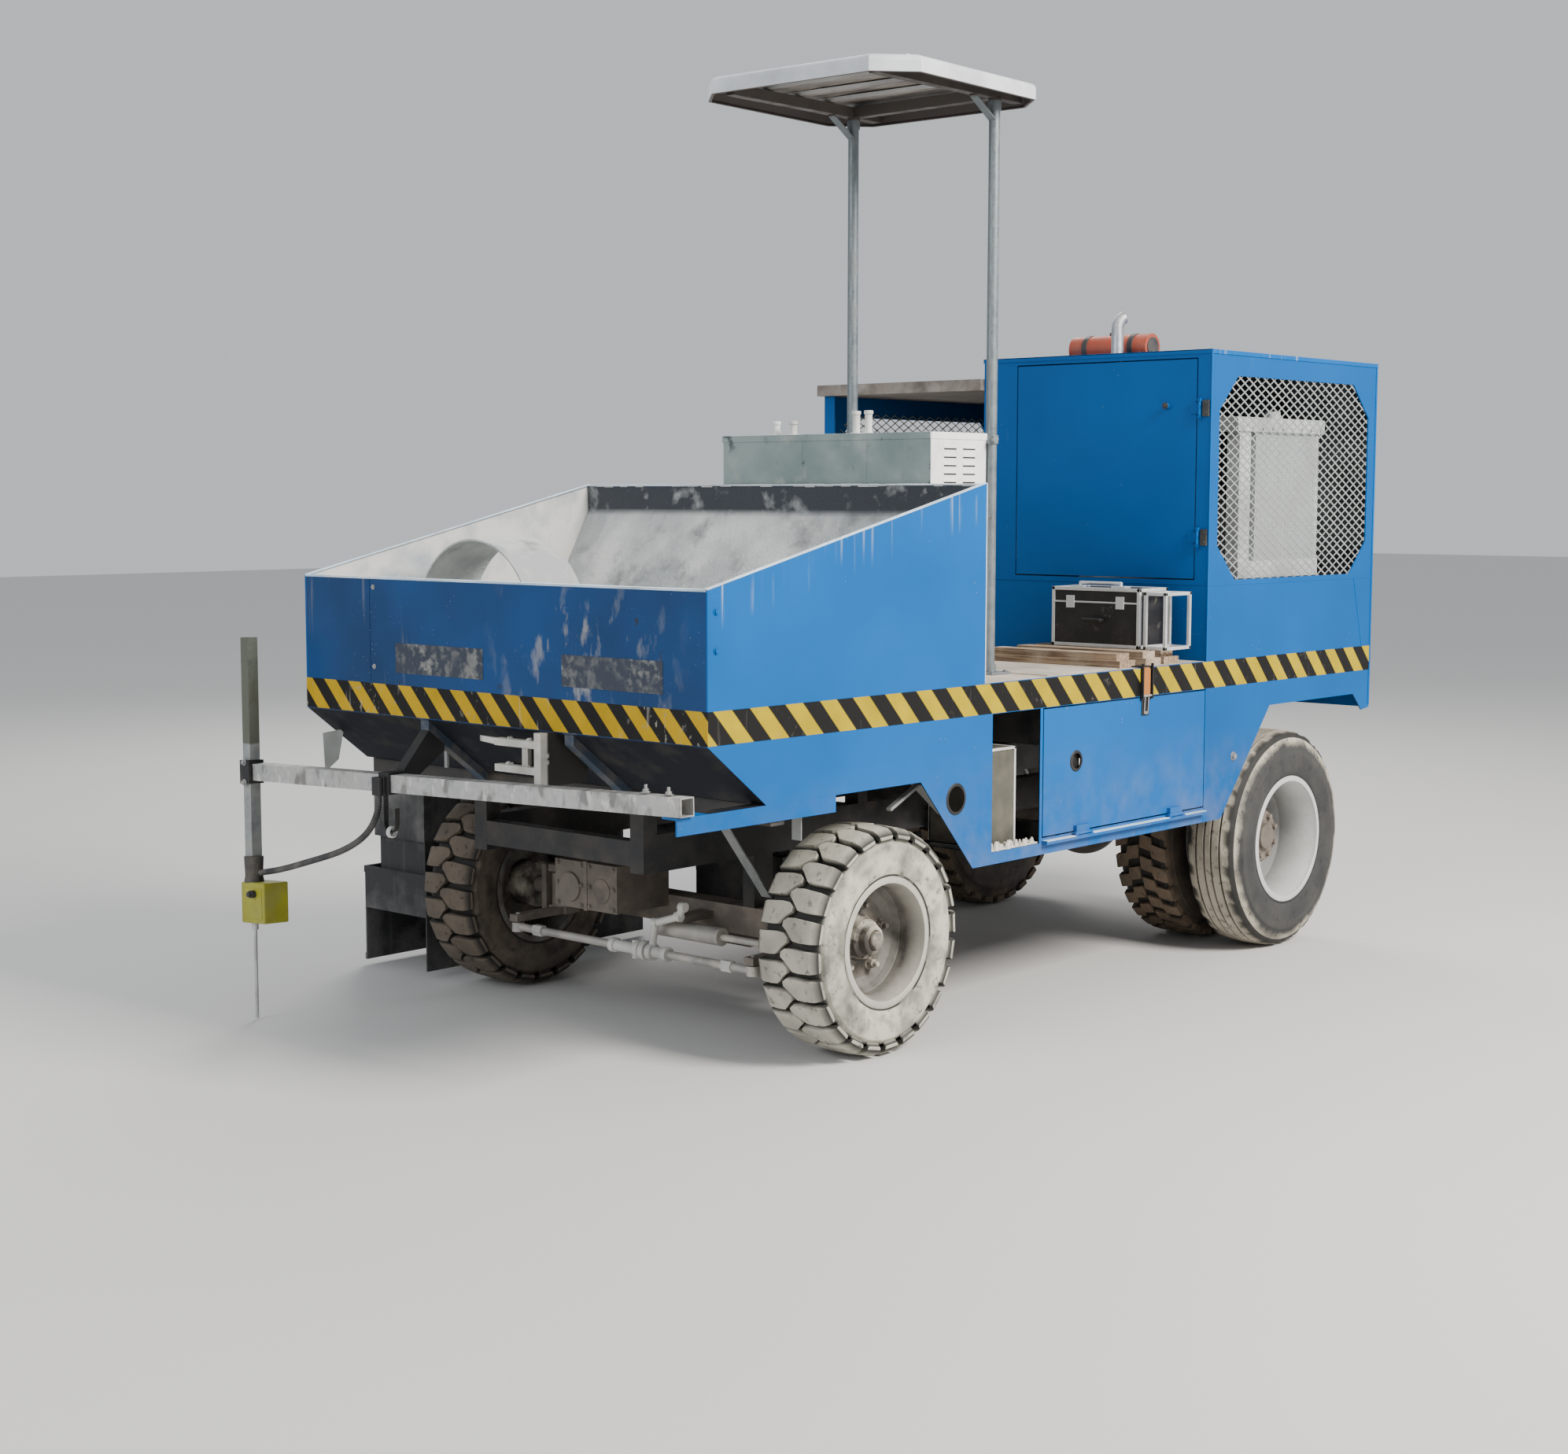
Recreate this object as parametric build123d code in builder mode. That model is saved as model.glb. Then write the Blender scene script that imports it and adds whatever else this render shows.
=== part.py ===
"""Curb machine: a two-axle concrete kerb layer with a hopper, a standing deck and an engine housing.

Millimetres. The hopper end faces -Y, +X is the machine's left side and +Z is up.
The origin lies on the ground under the middle of the front axle.
"""
import os
from math import cos, radians, sin, tan

from build123d import *

os.makedirs("parts", exist_ok=True)

# Body, seen from the side
body_half = 938.0
sheet = 5.0
front_y = -834.0
chamfer_y = -585.0
arch_front_y = 146.0
arch_rear_y = 423.0
hopper_rear_y = 480.0
housing_y = 1852.0
skirt_end_y = 1975.0
rear_arch_y = 2325.0
tail_arch_y = 2998.0
tail_y = 3137.0
skirt_z = 553.0
arch_z = 863.0
rear_arch_z = 962.0
tail_z = 900.0
tape_low_z = 1054.0
deck_z = 1157.0
front_top_z = 1501.0
hopper_top_z = 1808.0
housing_top_z = 2305.0
housing_seam_z = 1440.0

# Chassis
rail_x = 370.0
rail_w = 60.0
rail_low_z = 593.0
rail_h = 120.0
rail_front_y = -560.0
rail_rear_y = 2900.0
outrigger_w = 50.0
outrigger_h = 60.0
shelf_depth = 330.0

# Wheels
wheelbase = 2446.0
front_r = 367.0
front_w = 250.0
front_outer_x = 933.0
front_lugs = 20
front_facets = 60
rear_facets = 28
lug_depth = 16.0
rear_r = 427.0
rear_w = 235.0
rear_outer_x = 973.0
twin_pitch = 309.0
front_rim_r = 196.0
rear_rim_r = 236.0
kingpin_x = 560.0
kingpin_r = 15.0
running_gap = 0.05
spindle_r = 30.0
stub_r = 45.0
arm_reach = 230.0

# Hopper and screw
liner_t = 6.0
trough_r = 140.0
trough_y = -60.0
trough_z = 1020.0
screw_r = 122.0
screw_shaft_r = 30.0
screw_blades = 15
blade_t = 8.0
spout_out_x = -1390.0
spout_t = 5.0

# Clearances and hinges
door_gap = 5.0
seat_gap = 0.3
barrel_r = 6.0
hinge_pin_r = 3.0


def keep(piece, name):
    """Label a finished piece and write it out."""
    piece.label = name
    export_step(piece, f"parts/{name}.step")


def span(x0, x1, y0, y1, z0, z1, mode=Mode.ADD):
    """A block given by its lowest and highest coordinates."""
    with Locations(((x0 + x1) / 2, (y0 + y1) / 2, (z0 + z1) / 2)):
        return Box(abs(x1 - x0), abs(y1 - y0), abs(z1 - z0), mode=mode)


def side_plate(points, x_inner, side, mode=Mode.ADD):
    """A sheet parallel to the YZ plane, from (y, z) points, its inner face at x_inner."""
    with BuildSketch(Plane.YZ.offset(side * x_inner), mode=Mode.PRIVATE) as outline:
        with BuildLine():
            Polyline(*points, close=True)
        make_face()
    extrude(outline.sketch, amount=side * sheet, mode=mode)


def rod_along(start, end, radius, mode=Mode.ADD):
    """A round bar from one point to another."""
    start, end = Vector(*start), Vector(*end)
    with BuildSketch(Plane(origin=start, z_dir=end - start), mode=Mode.PRIVATE) as section:
        Circle(radius)
    extrude(section.sketch, amount=(end - start).length, mode=mode)


# Chassis frame: two rails, and the members that join them and carry the body
rail_top_z = rail_low_z + rail_h
inner_x = body_half - sheet
cradle_top_z = 920.0
deck_t = 10.0
angle_t = 6.0
front_beam_z = arch_z - angle_t - 0.3
outrigger_ys = (850.0, 1780.0)
cross_ys = (rail_front_y + outrigger_w / 2, 560.0, 1200.0, rail_rear_y - outrigger_w / 2)
rail_in = rail_x - rail_w / 2
rail_out = rail_x + rail_w / 2
with BuildPart() as frame_rails:
    for s in (-1, 1):
        span(s * rail_in, s * rail_out, rail_front_y, rail_rear_y, rail_low_z, rail_top_z)
keep(frame_rails.part, "frame_rails")
with BuildPart() as frame_members:
    post_z = rail_top_z + seat_gap
    for s in (-1, 1):
        for y in outrigger_ys:
            span(s * (rail_out + seat_gap), s * inner_x, y, y + outrigger_w, rail_low_z,
                 rail_low_z + outrigger_h)
        span(s * rail_in, s * rail_out, hopper_rear_y + 0.3, hopper_rear_y + 50, post_z, deck_z - deck_t)
        span(s * rail_in, s * rail_out, rail_rear_y - 60, rail_rear_y, post_z, deck_z - deck_t)
        span(s * rail_in, s * rail_out, rail_rear_y - 60, tail_y - 40, deck_z - 110, deck_z - deck_t)
        span(s * rail_in, s * rail_out, rail_front_y, rail_front_y + 60, post_z, front_beam_z)
        for y, seat_z in ((0, front_r + 50), (wheelbase, rear_r + 60)):
            span(s * 345, s * 395, y - 45, y + 45, seat_z, rail_low_z - seat_gap)
    span(-inner_x + 1, inner_x - 1, rail_front_y, rail_front_y + 60, front_beam_z - 60, front_beam_z)
    span(-inner_x + 1, inner_x - 1, tail_y - 70, tail_y - sheet - 0.3, deck_z - 130, deck_z - deck_t)
    for y in cross_ys:
        span(-rail_in + seat_gap, rail_in - seat_gap, y - outrigger_w / 2, y + outrigger_w / 2,
             rail_low_z + 20, rail_top_z - 20)
    span(-rail_out, rail_out, trough_y - 60, trough_y + 60, post_z, cradle_top_z)
    with BuildSketch(Plane.YZ.offset(-rail_x - 50)):
        with Locations((trough_y, trough_z)):
            Circle(trough_r + liner_t + seat_gap)
    extrude(amount=2 * rail_x + 100, mode=Mode.SUBTRACT)
keep(frame_members.part, "frame_members")

# Hydraulic tank, hung from the left rail behind the front axle
with BuildPart() as hydraulic_tank:
    span(0, 400, 90, 400, 290, 570)
    span(345, 395, 130, 360, 569, rail_low_z - seat_gap)
keep(hydraulic_tank.part, "hydraulic_tank")

# Side panels: one bent sheet each from the hopper to the engine housing, with the shelf inside
slot_y = (525.0, 796.0)
door_y = (811.0, housing_y)
door_z = (609.0, tape_low_z)
porthole = (330.0, 791.0, 45.0)
door_axis = (body_half + 14, door_z[0] - 3)
door_hinge_ys = (1000.0, 1600.0)
door_barrel = 80.0
panel_points = [(front_y, tape_low_z), (chamfer_y, arch_z), (arch_front_y, arch_z),
                (arch_rear_y, skirt_z), (housing_y, skirt_z), (housing_y, deck_z),
                (hopper_rear_y, deck_z), (hopper_rear_y, hopper_top_z), (front_y, front_top_z)]
spout_y = (trough_y - trough_r - 5, trough_y + trough_r + 5)
spout_z = (trough_z - trough_r - 5, trough_z + trough_r + 20)
for side, label in ((1, "left"), (-1, "right")):
    with BuildPart() as side_panel:
        side_plate(panel_points, inner_x, side)
        with BuildSketch(Plane.YZ.offset(side * (inner_x - 1))):
            with Locations(porthole[:2]):
                Circle(porthole[2])
        extrude(amount=side * (sheet + 2), mode=Mode.SUBTRACT)
        span(side * (inner_x - shelf_depth), side * inner_x, slot_y[0] - 5, housing_y,
             rail_low_z - sheet, rail_low_z)
        if side > 0:
            span(inner_x - 1, body_half + 1, *slot_y, rail_low_z, tape_low_z, mode=Mode.SUBTRACT)
            span(inner_x - 1, body_half + 1, *door_y, *door_z, mode=Mode.SUBTRACT)
            span(body_half, body_half + 22, door_y[0], door_y[1] - 10, door_z[0] - 21,
                 door_axis[1] - barrel_r - seat_gap)
            for y in door_hinge_ys:
                for y0 in (y - 12, y + door_barrel + seat_gap):
                    span(door_axis[0] - 6, door_axis[0] + 6, y0, y0 + 12 - seat_gap,
                         door_z[0] - 12, door_axis[1] + 6)
                rod_along((door_axis[0], y - 2, door_axis[1]),
                          (door_axis[0], y + door_barrel + 2, door_axis[1]), hinge_pin_r)
        else:
            span(-inner_x + 1, -body_half - 1, *spout_y, *spout_z, mode=Mode.SUBTRACT)
    keep(side_panel.part, f"side_panel_{label}")

# Side door: hinged along its lower edge, with a finger hole
with BuildPart() as side_door:
    span(inner_x, body_half, door_y[0] + door_gap, door_y[1] - door_gap,
         door_z[0] + door_gap, door_z[1] - door_gap)
    with BuildSketch(Plane.YZ.offset(inner_x - 1)):
        with Locations((1011, 857)):
            Circle(30)
    extrude(amount=sheet + 2, mode=Mode.SUBTRACT)
    for y in door_hinge_ys:
        span(body_half - 1, door_axis[0], y, y + door_barrel, door_z[0] + door_gap, door_z[0] + 24)
        span(body_half + 1, door_axis[0], y, y + door_barrel, door_axis[1], door_z[0] + door_gap + 1)
        rod_along((door_axis[0], y, door_axis[1]), (door_axis[0], y + door_barrel, door_axis[1]), barrel_r)
        rod_along((door_axis[0], y - 1, door_axis[1]), (door_axis[0], y + door_barrel + 1, door_axis[1]),
                  hinge_pin_r + running_gap, Mode.SUBTRACT)
keep(side_door.part, "side_door")

# Front panel: upright sheet, top flange, sloping sheet below it and two ribs under the slope
slope = (arch_z - tape_low_z) / (chamfer_y - front_y)
rib_xs = (-350.0, 330.0)
rib_w = 40.0
rib_h = 30.0
with BuildPart() as front_panel:
    span(-inner_x, inner_x, front_y, front_y + sheet, tape_low_z, front_top_z)
    with BuildSketch(Plane.YZ.offset(-inner_x)):
        with BuildLine():
            Polyline((front_y, tape_low_z), (chamfer_y, arch_z), (chamfer_y, arch_z + 8),
                     (front_y + sheet, tape_low_z + 3), (front_y, tape_low_z + 3), close=True)
        make_face()
    extrude(amount=2 * inner_x)
    span(-inner_x, inner_x, front_y, front_y + 30, front_top_z - sheet, front_top_z)
    for x in rib_xs:
        with BuildSketch(Plane.YZ.offset(x)):
            with BuildLine():
                Polyline((front_y + 10, tape_low_z + slope * 10), (chamfer_y, arch_z),
                         (chamfer_y, arch_z - rib_h), (front_y + 10, tape_low_z + slope * 10 - rib_h),
                         close=True)
            make_face()
        extrude(amount=rib_w)
keep(front_panel.part, "front_panel")

# Hopper liner: front and rear slopes meeting in a round trough, and the upright rear wall
front_slope_top = (front_y + 30.0, front_top_z - sheet - 8)
rear_slope_top = (hopper_rear_y - liner_t, 1710.0)
liner_half = inner_x - seat_gap
with BuildPart() as hopper_liner:
    with BuildSketch(Plane.YZ.offset(-liner_half)):
        with Locations((trough_y, trough_z)):
            Circle(trough_r + liner_t)
            Circle(trough_r, mode=Mode.SUBTRACT)
            Rectangle(3 * trough_r, 3 * trough_r, align=(Align.CENTER, Align.MIN), mode=Mode.SUBTRACT)
        for lean, low_y, top in ((-1, trough_y - trough_r, front_slope_top),
                                 (1, trough_y + trough_r, rear_slope_top)):
            with BuildLine():
                Polyline((low_y, trough_z - 2), (low_y + lean * liner_t, trough_z - 2),
                         (top[0] + lean * liner_t, top[1] - 2), top, close=True)
            make_face()
    extrude(amount=2 * liner_half)
    span(-liner_half, liner_half, hopper_rear_y - liner_t, hopper_rear_y, arch_z + 20, hopper_top_z - 5)
    span(-liner_half, liner_half, front_slope_top[0] - 24, front_slope_top[0] + 1,
         front_slope_top[1] - 6, front_top_z - sheet - seat_gap)
keep(hopper_liner.part, "hopper_liner")

# Hood before the screw's discharge end: one bent sheet that stands on the front slope
hood_mid = (-600.0, 1320.0)
hood_r = 300.0
hood_t = 6.0
hood_y = (-388.0, -130.0)
hood_foot_z = 1152.0
with BuildPart() as screw_hood:
    with BuildSketch(Plane.XZ.offset(-hood_y[1])):
        with Locations(hood_mid):
            Circle(hood_r)
        with Locations((hood_mid[0], (hood_mid[1] + hood_foot_z) / 2)):
            Rectangle(2 * hood_r, hood_mid[1] - hood_foot_z)
        with Locations(hood_mid):
            Circle(hood_r - hood_t, mode=Mode.SUBTRACT)
        with Locations((hood_mid[0], (hood_mid[1] + hood_foot_z) / 2)):
            Rectangle(2 * (hood_r - hood_t), hood_mid[1] - hood_foot_z + 1, mode=Mode.SUBTRACT)
        with Locations((hood_mid[0], hood_foot_z - 500)):
            Rectangle(3 * hood_r, 1000, mode=Mode.SUBTRACT)
    extrude(amount=hood_y[1] - hood_y[0])
    with BuildSketch(Plane.YZ.offset(-liner_half)):
        with BuildLine():
            Polyline((trough_y - trough_r, trough_z - 2 + seat_gap),
                     (front_slope_top[0], front_slope_top[1] + seat_gap), (front_slope_top[0], 900),
                     (trough_y - trough_r, 900), close=True)
        make_face()
    extrude(amount=liner_half, mode=Mode.SUBTRACT)
keep(screw_hood.part, "screw_hood")

# Screw: a shaft with canted paddles, carried at its left end by a motor and at its right by the spout
screw_left_x = 830.0
screw_right_x = spout_out_x + spout_t + 30
screw_pitch = (screw_left_x - screw_right_x - 140) / screw_blades
paddle_cant = 24.0
with BuildPart() as screw_motor:
    rod_along((screw_left_x + 0.5, trough_y, trough_z), (inner_x - seat_gap, trough_y, trough_z), 62)
keep(screw_motor.part, "screw_motor")
with BuildPart() as feed_screw:
    rod_along((screw_right_x, trough_y, trough_z), (screw_left_x, trough_y, trough_z), screw_shaft_r)
    for i in range(screw_blades):
        centre = (screw_right_x + 70 + screw_pitch * (i + 0.5), trough_y, trough_z)
        cant = radians(paddle_cant * (-1) ** i)
        with BuildSketch(Plane(origin=centre, x_dir=(0, 1, 0), z_dir=(cos(cant), 0, sin(cant)))):
            Circle(screw_r)
        extrude(amount=blade_t / 2, both=True)
keep(feed_screw.part, "feed_screw")

# Spout: the box that carries the screw's right end and drops the concrete to the mould
spout_low_z = 500.0
spout_in_x = -body_half
spout_drop_x = (spout_out_x, spout_out_x + 290.0)
with BuildPart() as discharge_spout:
    span(spout_out_x, spout_in_x - seat_gap, *spout_y, *spout_z)
    span(*spout_drop_x, *spout_y, spout_low_z, spout_z[1])
    span(spout_out_x + spout_t, spout_in_x + 1, spout_y[0] + spout_t, spout_y[1] - spout_t,
         spout_z[0] + spout_t, spout_z[1] - spout_t, mode=Mode.SUBTRACT)
    span(spout_drop_x[0] + spout_t, spout_drop_x[1] - spout_t, spout_y[0] + spout_t,
         spout_y[1] - spout_t, spout_low_z - 1, spout_z[1] - spout_t, mode=Mode.SUBTRACT)
    rod_along((spout_out_x + 1, trough_y, trough_z), (screw_right_x - 0.5, trough_y, trough_z), 45)
keep(discharge_spout.part, "discharge_spout")

# Mould: an open-bottomed trough that forms the kerb, its throat running up inside the spout
mould_x = (-1440.0, -1080.0)
mould_y = (-215.0, 900.0)
mould_z = (22.0, 380.0)
mould_t = 6.0
tunnel_h = 200.0
throat_clear = 10.0
carrier_ys = (600.0, 820.0)
guide_r = 22.0
guide_x = mould_x[1] - 60
carrier_z = (skirt_z - 55, skirt_z - seat_gap)
throat_x = (spout_drop_x[0] + spout_t + throat_clear, spout_drop_x[1] - spout_t - throat_clear)
throat_y = (spout_y[0] + spout_t + throat_clear, spout_y[1] - spout_t - throat_clear)
tunnel_top_z = mould_z[0] + tunnel_h
with BuildPart() as kerb_mould:
    span(*mould_x, *mould_y, *mould_z)
    span(mould_x[0] + mould_t, mould_x[1] - mould_t, mould_y[0] - 1, mould_y[1] + 1, mould_z[0] - 1,
         tunnel_top_z, mode=Mode.SUBTRACT)
    span(mould_x[0] + mould_t, mould_x[1] - mould_t, mould_y[0] + mould_t, mould_y[1] - mould_t,
         tunnel_top_z + mould_t, mould_z[1] + 1, mode=Mode.SUBTRACT)
    span(*throat_x, *throat_y, tunnel_top_z, spout_low_z + 40)
    span(throat_x[0] + mould_t, throat_x[1] - mould_t, throat_y[0] + mould_t, throat_y[1] - mould_t,
         tunnel_top_z - 10, spout_low_z + 41, mode=Mode.SUBTRACT)
    for y in carrier_ys:
        rod_along((guide_x, y, tunnel_top_z + 1), (guide_x, y, 860), guide_r)
keep(kerb_mould.part, "kerb_mould")
with BuildPart() as mould_carrier:
    for y in carrier_ys:
        span(guide_x - 45, -rail_x + 30, y - 30, y + 30, *carrier_z)
        span(-rail_x - 30, -rail_x + 30, y - 30, y + 30, carrier_z[1] - 1, rail_low_z - seat_gap)
        with Locations((guide_x, y, (carrier_z[0] + carrier_z[1]) / 2)):
            Cylinder(guide_r + running_gap, 80, mode=Mode.SUBTRACT)
    span(guide_x + 50, guide_x + 90, *carrier_ys, *carrier_z)
keep(mould_carrier.part, "mould_carrier")

# Deck plate, from the hopper to the tail, open over the engine
floor_half = inner_x - seat_gap
with BuildPart() as deck_plate:
    span(-floor_half, floor_half, hopper_rear_y + seat_gap, tail_y - sheet - seat_gap, deck_z - deck_t, deck_z)
    span(-900, 900, 885, 1310, deck_z - 1, deck_z + 3)
    span(-320, 320, 1940, 2839, deck_z - deck_t - 1, deck_z + 1, mode=Mode.SUBTRACT)
keep(deck_plate.part, "deck_plate")

# Engine housing: side walls down to the skirt, rear wall, roof and front wall, and a lower open bay
bay_x = -100.0
bay_top_z = 2185.0
bay_roof_t = 45.0
window_y = (1912.0, 3070.0)
window_z = (1455.0, 2215.0)
bay_window_z = (1400.0, 2100.0)
window_cut = 130.0
leaf_x = (65.0, inner_x - 58)
leaf_z = (1462.0, 2272.0)
leaf_axis = (inner_x - 40, housing_y - 9)
leaf_hinge_zs = (1616.0, 2091.0)
leaf_barrel = 50.0
pipe_x, pipe_y, pipe_r = 228.0, 2300.0, 25.0
wall_points = [(housing_y, skirt_z), (skirt_end_y, skirt_z), (rear_arch_y, rear_arch_z),
               (tail_arch_y, rear_arch_z), (tail_y - 63, tail_z - 8), (tail_y, tail_z)]


def octagon(y_span, z_span, cut, grow, x_from, depth, mode=Mode.ADD, holes=None):
    """A plate or window with cut corners, parallel to the YZ plane."""
    (y0, y1), (z0, z1) = y_span, z_span
    y0, y1, z0, z1 = y0 - grow, y1 + grow, z0 - grow, z1 + grow
    with BuildSketch(Plane.YZ.offset(x_from), mode=Mode.PRIVATE) as outline:
        with BuildLine():
            Polyline((y0 + cut, z0), (y1 - cut, z0), (y1, z0 + cut), (y1, z1 - cut),
                     (y1 - cut, z1), (y0 + cut, z1), (y0, z1 - cut), (y0, z0 + cut), close=True)
        make_face()
        if holes:
            pitch, bar, count = holes
            with Locations(Location(((y0 + y1) / 2, (z0 + z1) / 2, 0), 45)):
                with GridLocations(pitch, pitch, count, count):
                    Rectangle(pitch - bar, pitch - bar, mode=Mode.SUBTRACT)
    extrude(outline.sketch, amount=depth, mode=mode)


with BuildPart() as engine_housing:
    for s, top, z_span in ((1, housing_top_z, window_z), (-1, bay_top_z, bay_window_z)):
        side_plate(wall_points + [(tail_y, top), (housing_y, top)], inner_x, s)
        octagon(window_y, z_span, window_cut, 0, s * (inner_x - 1), s * (sheet + 2), Mode.SUBTRACT)
    span(-inner_x, bay_x, tail_y - sheet, tail_y, tail_z, bay_top_z)
    span(bay_x, inner_x, tail_y - sheet, tail_y, tail_z, housing_top_z)
    span(bay_x, inner_x, housing_y, tail_y, housing_top_z - sheet, housing_top_z)
    span(bay_x, bay_x + sheet, housing_y, tail_y, 1560, housing_top_z)
    span(bay_x, inner_x, housing_y, housing_y + sheet, deck_z, housing_top_z)
    span(leaf_x[0] - door_gap, leaf_x[1] + door_gap, housing_y - 1, housing_y + sheet + 1,
         leaf_z[0] - door_gap, leaf_z[1] + door_gap, mode=Mode.SUBTRACT)
    span(-inner_x, bay_x, housing_y, housing_y + sheet, deck_z, housing_seam_z)
    span(-inner_x, -inner_x + 50, housing_y, housing_y + sheet, housing_seam_z, bay_top_z)
    with Locations((pipe_x, pipe_y, housing_top_z)):
        Cylinder(pipe_r + 2, 40, mode=Mode.SUBTRACT)
    for z in leaf_hinge_zs:
        for z0 in (z - leaf_barrel / 2 - 12, z + leaf_barrel / 2 + seat_gap):
            span(leaf_axis[0] - 6, leaf_axis[0] + 6, leaf_axis[1] - 6, housing_y + 1, z0, z0 + 12 - seat_gap)
        rod_along((*leaf_axis, z - leaf_barrel / 2 - 2), (*leaf_axis, z + leaf_barrel / 2 + 2), hinge_pin_r)
keep(engine_housing.part, "engine_housing")

with BuildPart() as bay_roof:
    span(-body_half - 20, bay_x - seat_gap, housing_y - 25, tail_y, bay_top_z + seat_gap,
         bay_top_z + bay_roof_t)
keep(bay_roof.part, "bay_roof")

# Engine door in the housing's front wall, hinged at its left edge
with BuildPart() as engine_door:
    span(*leaf_x, housing_y, housing_y + sheet, *leaf_z)
    for z in leaf_hinge_zs:
        rod_along((*leaf_axis, z - leaf_barrel / 2), (*leaf_axis, z + leaf_barrel / 2), barrel_r)
        span(leaf_x[1] - 25, leaf_x[1], leaf_axis[1] + 3, housing_y + 1, z - 20, z + 20)
        span(leaf_x[1] - 1, leaf_axis[0], leaf_axis[1] + 3, housing_y - 1, z - 20, z + 20)
        rod_along((*leaf_axis, z - leaf_barrel / 2 - 1), (*leaf_axis, z + leaf_barrel / 2 + 1),
                  hinge_pin_r + running_gap, Mode.SUBTRACT)
    rod_along((750, housing_y + 1, 2103), (750, housing_y - 14, 2103), 11)
keep(engine_door.part, "engine_door")

# Grilles of crossed strands just inside the windows
strand = 8.0
strand_pitch = 90.0
grille_t = 3.0
grille_rim = 22.0
with BuildPart() as side_grilles:
    for s, z_span in ((1, window_z), (-1, bay_window_z)):
        octagon(window_y, z_span, window_cut, grille_rim, s * (inner_x - seat_gap - grille_t),
                s * grille_t, holes=(strand_pitch, strand, 16))
keep(side_grilles.part, "side_grilles")

# Radiator on its legs, engine on its feet, exhaust and roof tank
with BuildPart() as radiator:
    span(inner_x - 173, inner_x - 103, 2273, 2962, 1490, 2072)
    for y in (2300.0, 2900.0):
        span(inner_x - 153, inner_x - 113, y, y + 40, deck_z, 1491)
keep(radiator.part, "radiator")

with BuildPart() as engine_block:
    span(-290, 290, 1960, 2820, rail_top_z + 60, 1520)
    for s in (-1, 1):
        for y in (2050, 2700):
            span(s * 250, s * (rail_x + 10), y, y + 60, rail_top_z + 25, rail_top_z + 61)
            span(s * (rail_in + 5), s * (rail_x + 10), y, y + 60, rail_top_z, rail_top_z + 61)
keep(engine_block.part, "engine_block")

with BuildPart() as exhaust_pipe:
    rod_along((pipe_x, pipe_y, 1520), (pipe_x, pipe_y, 2440), pipe_r)
    with Locations((pipe_x, pipe_y, 2440)):
        Sphere(pipe_r)
    rod_along((pipe_x, pipe_y, 2440), (pipe_x, pipe_y - 35, 2500), pipe_r)
keep(exhaust_pipe.part, "exhaust_pipe")

with BuildPart() as roof_tank:
    rod_along((-60, 2430, housing_top_z + 62), (310, 2430, housing_top_z + 62), 55)
    for x in (0, 220):
        span(x, x + 30, 2400, 2460, housing_top_z, housing_top_z + 20)
keep(roof_tank.part, "roof_tank")

# Tank in the open locker, standing on the shelf
with BuildPart() as locker_tank:
    span(inner_x - 293, inner_x - 33, 560, 760, rail_low_z, 990)
keep(locker_tank.part, "locker_tank")

# Operator's place: console cabinet, canopy on two posts, tool case and deck boards
console_x = (-250.0, 700.0)
console_y = (490.0, 800.0)
console_top_z = 1980.0
with BuildPart() as console_cabinet:
    span(*console_x, *console_y, deck_z, console_top_z)
    span(console_x[0] + 4, console_x[1] - 4, console_y[0] + 4, console_y[1] - 4, deck_z + 4,
         console_top_z - 4, mode=Mode.SUBTRACT)
    for y in (600.0, 700.0):
        for i in range(4):
            z = 1840 + 28 * i
            span(console_x[1] - 5, console_x[1] + 1, y - 32, y + 32, z, z + 9, mode=Mode.SUBTRACT)
keep(console_cabinet.part, "console_cabinet")

post_y = 822.0
post_xs = (80.0, 700.0)
post_r = 19.0
canopy_z = 3100.0
with BuildPart() as canopy_frame:
    for x in post_xs:
        rod_along((x, post_y, deck_z), (x, post_y, canopy_z), post_r)
        span(x - 18, x + 18, 180, post_y + 130, canopy_z - 2, canopy_z + 34)
    span(post_xs[0], post_xs[1], post_y - 18, post_y + 18, canopy_z - 2, canopy_z + 34)
keep(canopy_frame.part, "canopy_frame")

canopy_centre = (388.0, 547.0)
canopy_size = (890.0, 890.0)
canopy_yaw = 2.4
canopy_skin_z = canopy_z + 34
canopy_cut = 118.0
canopy_t = 4.0
canopy_plane = Plane(origin=(*canopy_centre, 0)).rotated((0, 0, canopy_yaw))
with BuildPart() as canopy_roof:
    for grow, low, high, mode in ((0, canopy_z - 5, canopy_skin_z + canopy_t, Mode.ADD),
                                  (-canopy_t, canopy_z - 6, canopy_skin_z, Mode.SUBTRACT)):
        with BuildSketch(canopy_plane.offset(low)):
            Rectangle(canopy_size[0] + 2 * grow, canopy_size[1] + 2 * grow)
            chamfer(vertices(), canopy_cut)
        extrude(amount=high - low, mode=mode)
keep(canopy_roof.part, "canopy_roof")

with BuildPart() as tool_case:
    span(415, 805, 1600, 1790, deck_z + 50, 1430)
keep(tool_case.part, "tool_case")
with BuildPart() as deck_boards:
    for y in (1330.0, 1500.0, 1620.0):
        span(300, 900, y, y + 100, deck_z, deck_z + 26)
        span(320, 880, y + 10, y + 90, deck_z + 25, deck_z + 50)
    span(330, 360, 1330, 1720, deck_z, deck_z + 25)
keep(deck_boards.part, "deck_boards")

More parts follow.
